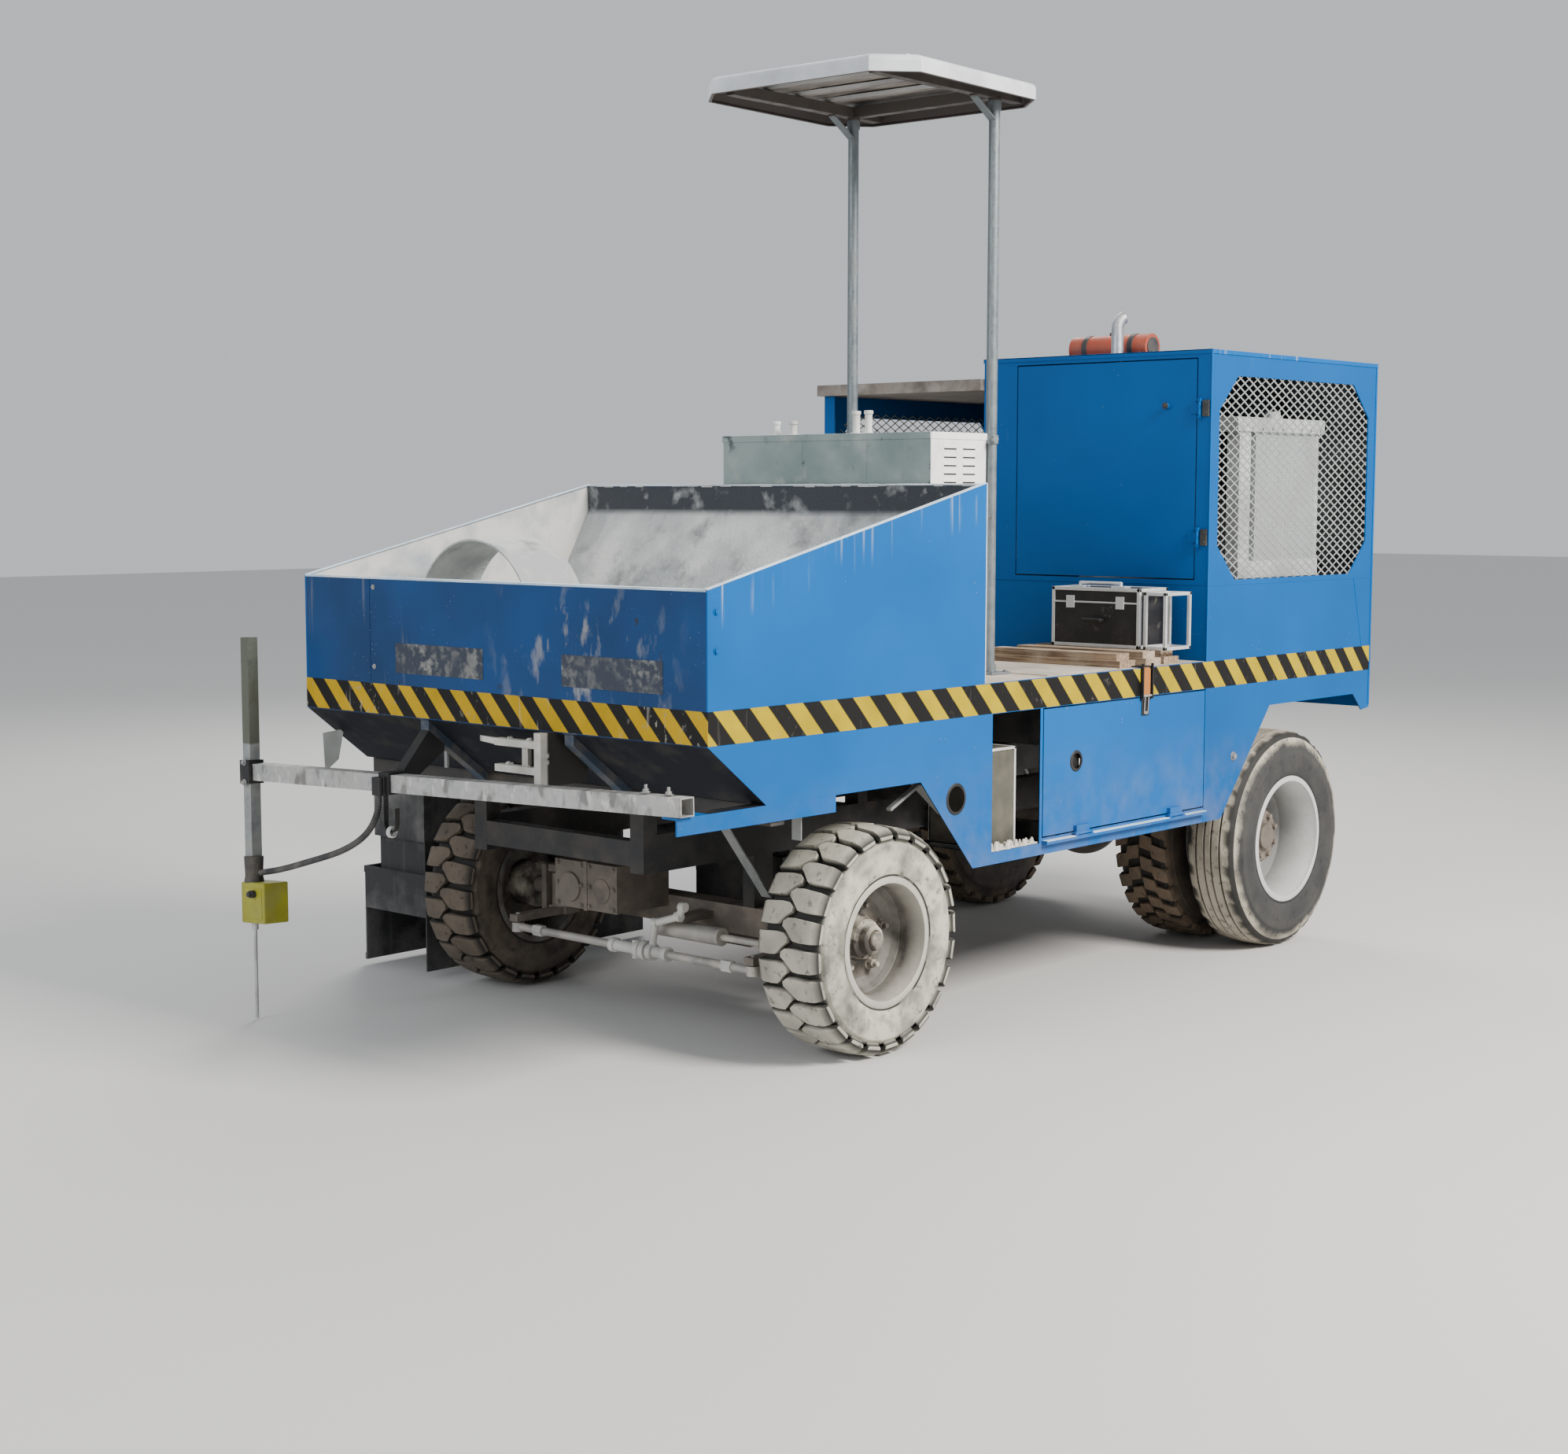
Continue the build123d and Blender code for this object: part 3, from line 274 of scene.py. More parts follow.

# %% [markdown]
# The front sheet is the same blue, painted darker as shade, and it is scratched and splashed from use. The
# sloping sheet under it is painted nearly black as shade. Height decides between the two, because both belong
# to one CAD node.

# %% Front sheet enamel
def front_enamel():
    """Blue painted darker as shade, with cement splashes above the tape; nearly black shade below it, with
    dusty braces.
    """
    f = Finish("front_enamel", Coat_Roughness=0.15, Specular_IOR_Level=0.25)
    height = f.along((0, 0, 1))
    across = f.along((1, 0, 0))
    broad = f.noise(2.1, 3)
    # The base blue is about half as bright as on the sides: painted shade.
    tone = f.mix((0.0, 0.05, 0.18), (0.0, 0.028, 0.1), broad.between(0.35, 0.68))
    splash_zone = (1 - abs(across - 0.42).between(0.1, 0.45)) * (1 - abs(height - 1.25).between(0.12, 0.28))
    splash = f.noise(16, 6, (1, 1, 0.45)).between(0.56, 0.66) * splash_zone
    drip = f.noise(1.0, 3, (40, 40, 1.8)).between(0.64, 0.75) * f.noise(2.2, 2).between(0.44, 0.6)
    tone = f.mix(tone, cement, splash * 0.5 + drip * 0.18)
    smear = f.noise(21, 5, (1, 1, 0.7)).between(0.66, 0.7) * f.noise(3.1, 2).between(0.5, 0.6)
    tone = f.mix(tone, (0.02, 0.024, 0.04), smear * 0.8)
    nick = (1 - f.cells(60).between(0.05, 0.1)) * f.noise(4, 2).between(0.5, 0.6)
    tone = f.mix(tone, (0.4, 0.42, 0.42), nick * 0.8)
    # Below the tape the sloping sheet is painted nearly black: painted shade. The braces across it stay
    # lighter.
    under = 1 - height.between(1.05, tape_low)
    brace = 1 - abs(abs(across - 0.01) - 0.34).between(0.019, 0.022)
    grime_and_shade = f.mix((0.006, 0.008, 0.014), (0.04, 0.036, 0.032), f.noise(8, 5).between(0.5, 0.78))
    dusty_brace = f.mix((0.05, 0.07, 0.1), (0.16, 0.14, 0.12), f.noise(11, 5).between(0.45, 0.7))
    tone = f.mix(tone, f.mix(grime_and_shade, dusty_brace, brace), under)
    caked = f.inside((-inner_side, hopper_front + 0.0035, deck_top), (inner_side, 0.479, 1.90))
    crusted = f.mix((0.6, 0.58, 0.55), (0.34, 0.33, 0.31), f.noise(6, 5).between(0.45, 0.66))
    tone = f.mix(tone, crusted, caked)
    rough = 0.36 + splash * 0.4 + under * 0.35 + broad * 0.1 + caked * 0.4
    bump = splash * 2 + nick + f.noise(180, 2) * 0.2 + f.noise(2, 2) * 2
    return f.done(tone, rough, bump, 0.001, coat=0.16 - under * 0.16)


front_blue = front_enamel()

# %% [markdown]
# Hazard tape has slanting black and yellow stripes. A stripe is a distance along a slanted line, wrapped by
# a modulo, so one pattern serves every side. Dirt darkens it, and rubbed spots show grey.

# %% Hazard tape
def hazard(name, run, pitch, yellow, grime_and_shade, shift=0.0):
    """Slanting stripes that repeat along a run direction."""
    f = Finish(name, Coat_Roughness=0.2, Specular_IOR_Level=0.2)
    wrapped = ((f.along(run) + shift) / pitch + f.noise(9, 2) * 0.03) % 1.0
    stripe = wrapped.between(0.47, 0.5) - wrapped.between(0.97, 1.0)
    dirty = f.noise(7, 5).between(0.42, 0.72)
    gold = f.mix(yellow, shade(yellow, 0.78), dirty)
    tone = f.mix(gold, (0.006, 0.0055, 0.005), stripe)
    rub = f.noise(55, 4, (1, 1, 0.6)).between(0.6, 0.68) * f.noise(4, 2).between(0.48, 0.62)
    tone = f.mix(tone, (0.3, 0.28, 0.24), rub * grime_and_shade)
    tone = f.mix(tone, cement, f.noise(1.0, 3, (34, 34, 4)).between(0.66, 0.76) * grime_and_shade * 0.5)
    return f.done(tone, 0.5 + dirty * 0.2 + rub * 0.2, f.noise(90, 2) + rub, 0.0004, coat=0.08 - rub * 0.08)


tape_side = hazard("hazard_tape_side", (0, 1, 0.95), 0.155, (0.47, 0.34, 0.0), 0.2, 0.02)
# The front tape is a more orange copy of the yellow: painted shade.
tape_front = hazard("hazard_tape_front", (1, 0, 0.95), 0.130, (0.52, 0.32, 0.0), 0.85)
tape_right = hazard("hazard_tape_right", (0, -1, 0.95), 0.155, (0.62, 0.44, 0.0), 0.45)


# %% [markdown]
# A hopper is never quite clean. The liner carries a grey crust with pale dried patches, and a strip of
# painted shadow under the rear rim. The same crust, turned down, coats the mould, the spout and the deck.

# %% Cement crust
def crust(name, light, mid, dark, strip=None, grit=1.0):
    """Dried cement over steel, in three greys, with a strip of painted shadow if one is given."""
    f = Finish(name)
    patch = f.noise(3.2, 6)
    tone = f.mix(mid, light, patch.between(0.44, 0.64))
    tone = f.mix(tone, dark, f.noise(7.5, 5).between(0.55, 0.74))
    fine = f.cells(120)
    pits = (1 - fine.between(0.04, 0.16)) * f.noise(6, 2).between(0.42, 0.7)
    tone = f.mix(tone, shade(dark, 0.6), pits)
    run = f.noise(1.0, 4, (22, 22, 1.4)).between(0.52, 0.7)
    tone = f.mix(tone, light, run * 0.35)
    # The strip is a painted shadow, darkening the liner just under the rear rim.
    if strip:
        low, high, shadow_tint = strip
        tone = f.mix(tone, shadow_tint, f.along((0, 0, 1)).between(low, high) * f.noise(12, 4).between(0.2, 0.45))
    bump = patch * 3 + f.noise(60, 5) * 1.2 + (1 - fine) * 0.5
    return f.done(tone, 0.78 + patch * 0.16, bump, 0.0028 * grit)


painted_shadow_strip = (1.695, 1.72, (0.045, 0.05, 0.06))
liner_crust = crust("hopper_crust", (0.66, 0.66, 0.64), (0.4, 0.42, 0.42), (0.2, 0.21, 0.21), painted_shadow_strip)
mould_crust = crust("mould_crust", (0.13, 0.125, 0.12), (0.03, 0.03, 0.032), (0.012, 0.012, 0.014), grit=0.6)
deck_crust = crust("deck_crust", (0.55, 0.49, 0.42), (0.4, 0.35, 0.29), (0.16, 0.14, 0.12), grit=0.6)
pale_crust = crust("pale_crust", (0.8, 0.77, 0.72), (0.6, 0.57, 0.52), (0.3, 0.27, 0.24))


# %% [markdown]
# Two kinds of surface: bare zinc or aluminium, and dull paint or rubber in one colour. Zinc crystals are
# flat cells, each a slightly different grey. Roughness varies with dust, so edges don't gleam evenly.

# %% Metals and paints
def zinc(name, base=(0.56, 0.57, 0.58), flower=55, dusty=0.5, shine=0.85, blotch=0.0, dark_above=None,
         tone_above=(0, 0, 0)):
    """Galvanised steel with its crystal pattern, dust, and a darker part above a height if there is one."""
    f = Finish(name, Metallic=shine)
    crystal = f.cells(flower, out="Color")
    grey = f.node("ShaderNodeRGBToBW", {}, {0: crystal})
    tone = f.mix(shade(base, 0.78), base, grey)
    dust = f.noise(11, 5).between(0.42, 0.7)
    tone = f.mix(tone, cement, dust * dusty)
    rust = f.noise(23, 4).between(0.68, 0.76)
    tone = f.mix(tone, (0.17, 0.09, 0.045), rust * 0.5)
    if blotch:
        smear = f.noise(1.0, 4, (17, 5, 9)).between(0.5, 0.62)
        tone = f.mix(tone, (0.09, 0.085, 0.08), smear * blotch)
        tone = f.mix(tone, (0.8, 0.78, 0.74), f.noise(1.0, 4, (26, 6, 14)).between(0.6, 0.68) * blotch)
    if dark_above is not None:
        tone = f.mix(tone, tone_above, f.along((0, 0, 1)).between(dark_above, dark_above + 0.006))
    return f.done(tone, 0.36 + grey * 0.12 + dust * 0.35, f.noise(70, 3) + dust, 0.0005)


def underpaint(name, base, dust, amount=0.6, rough=0.5, rust=0.2, metal=0.0, shade_behind=None):
    """Machine paint with dust, grease and rust, and painted shade behind a place along Y if there is one."""
    f = Finish(name, Metallic=metal)
    broad = f.noise(4.5, 4)
    powder = f.noise(13, 6).between(0.42, 0.72) * (0.35 + f.noise(2.2, 2).between(0.35, 0.65))
    tone = f.mix(base, shade(base, 0.62), broad.between(0.4, 0.66))
    tone = f.mix(tone, dust, powder * amount)
    rusty = f.noise(31, 5).between(0.62, 0.72) * f.noise(3.3, 2).between(0.45, 0.62)
    tone = f.mix(tone, (0.16, 0.07, 0.03), rusty * rust)
    # Behind that place the paint is darkened as painted shade.
    if shade_behind is not None:
        painted_shade = f.along((0, 1, 0)).between(shade_behind, shade_behind + 0.008)
        tone = f.mix(tone, (0.02, 0.018, 0.016), painted_shade)
    return f.done(tone, rough + powder * 0.3, broad + f.noise(85, 3) * 0.5 + rusty, 0.0009)


galvanised = zinc("galvanised")
boom_zinc = zinc("boom_zinc", (0.52, 0.52, 0.51), 55, 0.45, 0.6, blotch=0.6)
pole_zinc = zinc("pole_zinc", (0.34, 0.36, 0.36), 60, 0.3, 0.6,
                 dark_above=0.93, tone_above=(0.13, 0.14, 0.11))
post_zinc = zinc("post_zinc", (0.2, 0.23, 0.25), 70, 0.16, 0.5,
                 dark_above=3.088, tone_above=(0.1, 0.085, 0.075))
mesh_zinc = zinc("mesh_zinc", (0.5, 0.53, 0.53), 90, 0.2, 0.5)
joint_metal = underpaint("steering_joint_metal", (0.6, 0.59, 0.55), (0.7, 0.66, 0.6), 0.6, 0.4, 0.3)
aluminium = zinc("case_aluminium", (0.82, 0.83, 0.84), 400, 0.1, 0.6)
bolt_zinc = zinc("bolt_zinc", (0.42, 0.42, 0.42), 200, 0.5)
black_frame = underpaint("black_frame_paint", (0.014, 0.014, 0.016), (0.12, 0.1, 0.08), 0.45)
dark_steel = underpaint("dark_steel_paint", (0.03, 0.031, 0.034), (0.2, 0.17, 0.13), 0.5)
brown_box = underpaint("brown_box_paint", (0.05, 0.03, 0.026), (0.16, 0.12, 0.1), 0.6, 0.6)
casting = underpaint("axle_casting_paint", (0.15, 0.125, 0.105), (0.3, 0.25, 0.2), 0.8, 0.6, 0.3)
hub_casting = underpaint("hub_casting_paint", (0.07, 0.06, 0.05), (0.62, 0.57, 0.47), 1.1, 0.6, 0.3)
rod_metal = underpaint("steering_rod_steel", (0.4, 0.38, 0.35), (0.62, 0.57, 0.5), 0.75, 0.42, 0.3, 0.2)
engine_paint = underpaint("engine_paint", (0.05, 0.055, 0.06), (0.14, 0.12, 0.1), 0.55, 0.4)
brown_sheet = underpaint("bay_roof_paint", (0.2, 0.165, 0.145), (0.4, 0.36, 0.32), 0.7, 0.62)
latch_band = underpaint("latch_band_rubber", (0.42, 0.15, 0.025), (0.1, 0.06, 0.03), 0.7, 0.5)
tank_red = underpaint("roof_tank_paint", (0.42, 0.07, 0.03), (0.3, 0.2, 0.15), 0.4, 0.42)
pale_paint = underpaint("pale_paint", (0.75, 0.75, 0.72), (0.5, 0.46, 0.4), 0.45, 0.4)
olive_tank = underpaint("locker_tank_paint", (0.085, 0.08, 0.06), (0.24, 0.21, 0.16), 0.7, 0.55)
# The clevis is darkened behind its front face: painted shade.
clevis_paint = underpaint("clevis_white_paint", (0.66, 0.64, 0.58), (0.28, 0.25, 0.2), 0.85, 0.6, 0.4,
                          shade_behind=-0.872)
radiator_paint = underpaint("radiator_paint", (0.66, 0.7, 0.69), (0.45, 0.44, 0.4), 0.5, 0.45)
sensor_paint = underpaint("sensor_yellow_paint", (0.4, 0.38, 0.02), (0.22, 0.2, 0.12), 0.5, 0.4)
edge_paint = underpaint("worn_edge_metal", (0.55, 0.72, 0.88), (0.75, 0.74, 0.72), 0.7, 0.5)
black_rubber = underpaint("black_rubber_trim", (0.01, 0.01, 0.011), (0.08, 0.07, 0.06), 0.4, 0.6, 0.0)
conduit = underpaint("hose_conduit", (0.055, 0.055, 0.058), (0.2, 0.18, 0.16), 0.6, 0.6, 0.0)

# %% [markdown]
# The tyres run through cement slurry, so they are pale where they touch it. Their grooves hold no dust and are
# painted nearly black as shade, and a dark ring of painted shade lies at the bead seat. Distance from the axle
# tells tread from sidewall, and the rear sidewalls are cleaner. The far front tyre is a darker copy, as shade.

# %% Tyre rubber
def tyre_rubber(name, axle, rubber, side_dust, tread_dust, bright, middle, groove_depth, half_width, bead):
    """Rubber with cement dust by distance from the axle; grooves bare and painted dark as shade."""
    radius = axle[1]
    f = Finish(name)
    reach = f.from_axle(axle)
    offset = abs(abs(f.along((1, 0, 0))) - middle)
    patch = f.noise(9, 6)
    tread = (reach + patch * 0.06 - 0.03).between(radius - 0.060, radius - 0.034)
    patchy = patch.between(0.34, 0.62)
    mask = patchy * side_dust * (1 - tread) + (patchy * 0.5 + 0.5) * tread * tread_dust
    groove = (1 - reach.between(radius - groove_depth, radius - groove_depth * 0.35)) * (offset < half_width)
    # The open grooves lose their dust and are painted nearly black: bare rubber and painted shade.
    bare_shaded_groove = groove * reach.between(radius - 0.05, radius - 0.04)
    mask = mask * (1 - bare_shaded_groove * 0.85)
    tone = f.mix(rubber, bright, mask)
    tone = f.mix(tone, (0.012, 0.011, 0.01), bare_shaded_groove * 0.9)
    bare = f.noise(16, 5).between(0.48, 0.64) * (1 - tread)
    tone = f.mix(tone, shade(rubber, 1.4), bare * 0.65)
    tone = f.mix(tone, shade(rubber, 0.55), f.noise(38, 4).between(0.58, 0.7) * 0.7)
    # A thin dark ring at the bead seat is painted shade in the gap to the rim.
    seat_gap_shade = 1 - abs(reach - (bead + 0.0175)).between(0.0015, 0.005)
    tone = f.mix(tone, (0.012, 0.011, 0.01), seat_gap_shade * f.noise(9, 3).between(0.35, 0.5))
    ring = (1 - abs(reach - (radius - 0.085)).between(0.004, 0.02)) * f.noise(6, 3).between(0.38, 0.6)
    tone = f.mix(tone, bright, ring * side_dust * 0.5)
    return f.done(tone, 0.72 + mask * 0.2, patch * 1.5 + f.noise(90, 4), 0.0012)


front_middle, rear_middle = front_outer - front_width / 2, rear_outer - rear_width / 2
front_rubber = tyre_rubber("front_tyre_rubber", front_axle_at, (0.14, 0.135, 0.115), 1.0, 0.7,
                           (0.58, 0.55, 0.46), front_middle, 0.024, 0.1225, front_bead)
# The far front tyre is a darker copy of the front rubber: painted shade.
shaded_far_rubber = tyre_rubber("far_front_tyre_rubber", front_axle_at, (0.035, 0.028, 0.022), 0.7, 0.7,
                         (0.19, 0.15, 0.11), front_middle, 0.024, 0.1225, front_bead)
rear_rubber = tyre_rubber("rear_tyre_rubber", rear_axle_at, (0.024, 0.025, 0.026), 0.05, 0.85,
                          (0.5, 0.45, 0.36), rear_middle, 0.012, 0.1, rear_bead)
inner_rubber = tyre_rubber("inner_tyre_rubber", rear_axle_at, (0.03, 0.026, 0.022), 0.3, 0.7,
                           (0.2, 0.14, 0.09), rear_middle - twin_step, 0.016, 0.1, rear_bead)


def rim_paint(name, axle, base, dust, amount, deep, mouth, dirty):
    """Wheel paint, darkest deep in its dish, from dirt and painted shade."""
    f = Finish(name, Metallic=0.25)
    reach = f.from_axle(axle)
    patch = f.noise(12, 6)
    mask = patch.between(0.35, 0.7) * amount
    tone = f.mix(base, dust, mask)
    # Deep in the dish the paint darkens: partly dirt, partly painted shade.
    depth = 1 - abs(f.along((1, 0, 0))).between(deep, mouth)
    dirt_and_shade = depth * (0.72 + f.noise(7, 4).between(0.4, 0.6) * 0.28)
    tone = f.mix(tone, (0.035, 0.03, 0.025), dirt_and_shade * dirty)
    rust = (1 - reach.between(0.08, 0.13)) * f.noise(26, 5).between(0.45, 0.65)
    tone = f.mix(tone, (0.2, 0.1, 0.05), rust * 0.5)
    return f.done(tone, 0.42 + mask * 0.3 + dirt_and_shade * 0.2, patch + f.noise(80, 3), 0.0008)


front_rim_paint = rim_paint("front_rim_paint", front_axle_at, (0.5, 0.48, 0.43), (0.62, 0.58, 0.5), 0.9,
                            0.86, 0.929, 0.95)
rear_rim_paint = rim_paint("rear_rim_paint", rear_axle_at, (0.66, 0.67, 0.66), (0.48, 0.45, 0.4), 0.4,
                           0.76, 0.95, 0.62)
print("finishes:", len(bpy.data.materials))

# %% [markdown]
# Some finishes show a surface's own make: the console's green grey with greasy smudges and a white end, its
# front darker as painted shade; the canopy's pale rim over a brown underside, with painted shade along the rim
# inside; weathered planks whose grain runs along X; and scuffed black laminate.

# %% Console, canopy, planks and case
def console_paint():
    """Grey green front darkened as painted shade, white left end, black smudges."""
    f = Finish("console_paint")
    across = f.along((1, 0, 0))
    height = f.along((0, 0, 1))
    broad = f.noise(5, 4)
    # The front's grey green is much darker than the white end: painted shade.
    tone = f.mix((0.26, 0.33, 0.31), (0.19, 0.25, 0.24), broad.between(0.4, 0.65))
    smudge = f.noise(15, 6).between(0.58, 0.64) * f.noise(4.2, 2).between(0.48, 0.56)
    tone = f.mix(tone, (0.03, 0.035, 0.035), smudge * 0.85)
    tone = f.mix(tone, (0.5, 0.49, 0.46), f.noise(8, 5).between(0.55, 0.7) * 0.45)
    white = across.between(0.694, 0.696)
    tone = f.mix(tone, f.mix((0.92, 0.92, 0.9), (0.7, 0.69, 0.66), f.noise(9, 5).between(0.5, 0.78)), white)
    tone = f.mix(tone, dust_brown, (1 - height.between(1.2, 1.42)) * 0.35)
    return f.done(tone, 0.42 + broad * 0.2 + smudge * 0.2, broad + f.noise(120, 2) * 0.2, 0.0008)


def canopy_paint():
    """Pale rim and top, brown and stained below, with painted shade along the rim inside and on inner walls."""
    f = Finish("canopy_paint")
    height = f.along((0, 0, 1))
    facing = f.node("ShaderNodeNewGeometry", out="Normal")
    down = f.node("ShaderNodeVectorMath", {"operation": "DOT_PRODUCT"}, {0: facing, 1: (0, 0, -1)},
                  out="Value")
    off_x = abs(f.along((1, 0, 0), canopy_mid))
    off_y = abs(f.along((0, 1, 0), canopy_mid))
    # The underside is darker along the inside of the rim: painted shade.
    border_shade = off_x.pair("MAXIMUM", off_x, off_y).between(0.352, 0.358)
    below = down.between(0.35, 0.6) * height.between(3.105, 3.11)
    broad = f.noise(4, 5)
    rim = f.mix((0.66, 0.69, 0.71), (0.46, 0.48, 0.5), broad.between(0.42, 0.68))
    belly = f.mix((0.3, 0.26, 0.23), (0.1, 0.08, 0.07), f.noise(6, 5, (1, 3, 1)).between(0.4, 0.66))
    tone = f.mix(rim, f.mix(belly, (0.055, 0.047, 0.045), border_shade), below)
    across, along = (cos(canopy_turn), sin(canopy_turn), 0), (-sin(canopy_turn), cos(canopy_turn), 0)
    turned_x, turned_y = abs(f.along(across, canopy_mid)), abs(f.along(along, canopy_mid))
    # The tray's inner walls are painted dark: painted shade.
    inner_half, inner_corner = canopy_half - 0.0015, 2 * canopy_half - canopy_cut - 0.003
    within_shade = (turned_x < inner_half) * (turned_y < inner_half) * (turned_x + turned_y < inner_corner)
    tone = f.mix(tone, (0.1, 0.082, 0.075), within_shade * (height < 3.131))
    return f.done(tone, 0.42 + broad * 0.25, broad + f.noise(60, 3) * 0.3, 0.001)


def plank_wood():
    """Weathered planks with grain along X."""
    f = Finish("plank_wood")
    grain = f.noise(9, 6, (0.5, 11, 11))
    tone = f.mix((0.42, 0.3, 0.2), (0.17, 0.115, 0.075), grain.between(0.4, 0.62))
    tone = f.mix(tone, (0.56, 0.48, 0.38), f.noise(6, 5).between(0.48, 0.7) * 0.7)
    return f.done(tone, 0.8, grain * 2 + f.noise(90, 3), 0.0016)


def case_laminate():
    """Black laminate with scuffs."""
    f = Finish("case_laminate")
    scuff = f.noise(26, 6).between(0.58, 0.68) * f.noise(5, 2).between(0.45, 0.6)
    worn = scuff * 0.8 + f.noise(7, 4).between(0.5, 0.8) * 0.2
    tone = f.mix((0.012, 0.012, 0.013), (0.16, 0.14, 0.12), worn)
    return f.done(tone, 0.45 + scuff * 0.3, f.cells(240) * 0.6 + scuff, 0.0006)


console_skin = console_paint()
canopy_skin = canopy_paint()
planks = plank_wood()
laminate = case_laminate()

# %% [markdown]
# The radiator's core is a stack of thin fins between flat tubes. Modelling each fin would cost thousands of
# faces, so the fins are stripes in the material, read along Z and Y and raised by the bump.

# %% Radiator core
def core_fins():
    """Fins and tubes as fine stripes, with painted shade in the gaps between the fins."""
    f = Finish("radiator_core", Metallic=0.3)
    fin = (f.along((0, 0, 1)) / 0.006) % 1.0
    tube = (f.along((0, 1, 0)) / 0.022) % 1.0
    # The gaps between fins are painted darker: painted shade.
    dark = (fin < 0.42) * (tube < 0.78)
    tone = f.mix((0.62, 0.68, 0.68), (0.25, 0.28, 0.28), dark * 0.6)
    tone = f.mix(tone, (0.5, 0.48, 0.44), f.noise(7, 5).between(0.42, 0.68) * 0.6)
    return f.done(tone, 0.55, 1 - dark, 0.002)


fins = core_fins()

# %% [markdown]
# Mesh code works on a `bmesh`, a mesh that can be edited in memory. The helpers below add closed shapes to
# one, and `piece` turns it into an object that rides on a CAD body, with a small bevel so that edges catch
# the light.

# %% Mesh helpers
def block(bm, low, high):
    """A box from its lowest to its highest corner."""
    xs, ys, zs = zip(low, high)
    corners = [bm.verts.new((x, y, z)) for z in zs for y in ys for x in xs]
    for quad in ((0, 2, 3, 1), (4, 5, 7, 6), (0, 1, 5, 4), (2, 6, 7, 3), (0, 4, 6, 2), (1, 3, 7, 5)):
        bm.faces.new([corners[i] for i in quad])


def prism(bm, outline, start, depth):
    """A flat outline of 3-D points carried along a depth vector."""
    lower = [bm.verts.new(Vector(p) + Vector(start)) for p in outline]
    upper = [bm.verts.new(v.co + Vector(depth)) for v in lower]
    bm.faces.new(lower[::-1])
    bm.faces.new(upper)
    for i in range(len(lower)):
        j = (i + 1) % len(lower)
        bm.faces.new((lower[i], lower[j], upper[j], upper[i]))


def square_to(axis):
    """Two unit vectors square to an axis."""
    axis = Vector(axis).normalized()
    side = axis.cross(Vector((0, 0, 1)) if abs(axis.z) < 0.9 else Vector((0, 1, 0))).normalized()
    return side, axis.cross(side)


def bar(bm, start, end, radius, sides=16, end_radius=None, phase=0.0):
    """A round or many-sided bar between two points."""
    start, end = Vector(start), Vector(end)
    u, v = square_to(end - start)
    rings = []
    for centre, r in ((start, radius), (end, radius if end_radius is None else end_radius)):
        rings.append([bm.verts.new(centre + (u * cos(a) + v * sin(a)) * r)
                      for a in (2 * pi * (i + phase) / sides for i in range(sides))])
    bm.faces.new(rings[0][::-1])
    bm.faces.new(rings[1])
    for i in range(sides):
        j = (i + 1) % sides
        bm.faces.new((rings[0][i], rings[0][j], rings[1][j], rings[1][i]))


def hexagon(bm, at, normal, size=0.011, height=0.007, washer=True):
    """A hexagon bolt head, with its washer."""
    at, normal = Vector(at), Vector(normal).normalized()
    if washer:
        bar(bm, at, at + normal * 0.002, size * 1.45, 14)
    bar(bm, at + normal * (0.0015 if washer else 0.0), at + normal * height, size, 6)


def turned(bm, profile, centre, steps=64):
    """A closed profile of (x, radius) points turned about an axle along X."""
    turns = [2 * pi * i / steps for i in range(steps)]
    rings = [[bm.verts.new((x, centre[0] + r * cos(turn), centre[1] + r * sin(turn))) for turn in turns]
             for x, r in profile]
    for a, b in zip(rings, rings[1:] + rings[:1]):
        for i in range(steps):
            j = (i + 1) % steps
            bm.faces.new((a[i], a[j], b[j], b[i]))


def around(centre, radius, count, phase):
    """Places evenly round an axle, as (y, z)."""
    return [(centre[0] + radius * cos(turn), centre[1] + radius * sin(turn))
            for turn in (2 * pi * i / count + phase for i in range(count))]


def arc_tube(bm, centre, out, way, bend, tube, start, end, steps=14, sides=16, flat=1.0):
    """A tube bent along part of a circle, closed at its ends; flat under 1 makes it a strap."""
    out, way = Vector(out).normalized(), Vector(way).normalized()
    axis = out.cross(way)
    rings = []
    for i in range(steps + 1):
        a = start + (end - start) * i / steps
        ray = out * cos(a) + way * sin(a)
        middle = Vector(centre) + ray * bend
        rings.append([bm.verts.new(middle + ray * (tube * flat * cos(b)) + axis * (tube * sin(b)))
                      for b in (2 * pi * k / sides for k in range(sides))])
    bm.faces.new(rings[0][::-1])
    bm.faces.new(rings[-1])
    for a, b in zip(rings, rings[1:]):
        for k in range(sides):
            j = (k + 1) % sides
            bm.faces.new((a[k], a[j], b[j], b[k]))


def open_box(bm, low, high, t):
    """Square bars along the twelve edges of a box."""
    for axis in range(3):
        first, second = [i for i in range(3) if i != axis]
        for near in (0, 1):
            for far in (0, 1):
                start, end = list(low), list(high)
                for i, at_high in ((first, near), (second, far)):
                    start[i], end[i] = (high[i] - t, high[i]) if at_high else (low[i], low[i] + t)
                block(bm, start, end)


def flat_bar(bm, start, end, wide, thick, across):
    """A flat bar between two points, its width along the across direction."""
    start, end, across = Vector(start), Vector(end), Vector(across).normalized()
    up = (end - start).cross(across).normalized()
    corners = [across * (wide / 2 * a) + up * (thick / 2 * b)
               for a, b in ((-1, -1), (1, -1), (1, 1), (-1, 1))]
    prism(bm, corners, start, end - start)


faces_made = {}


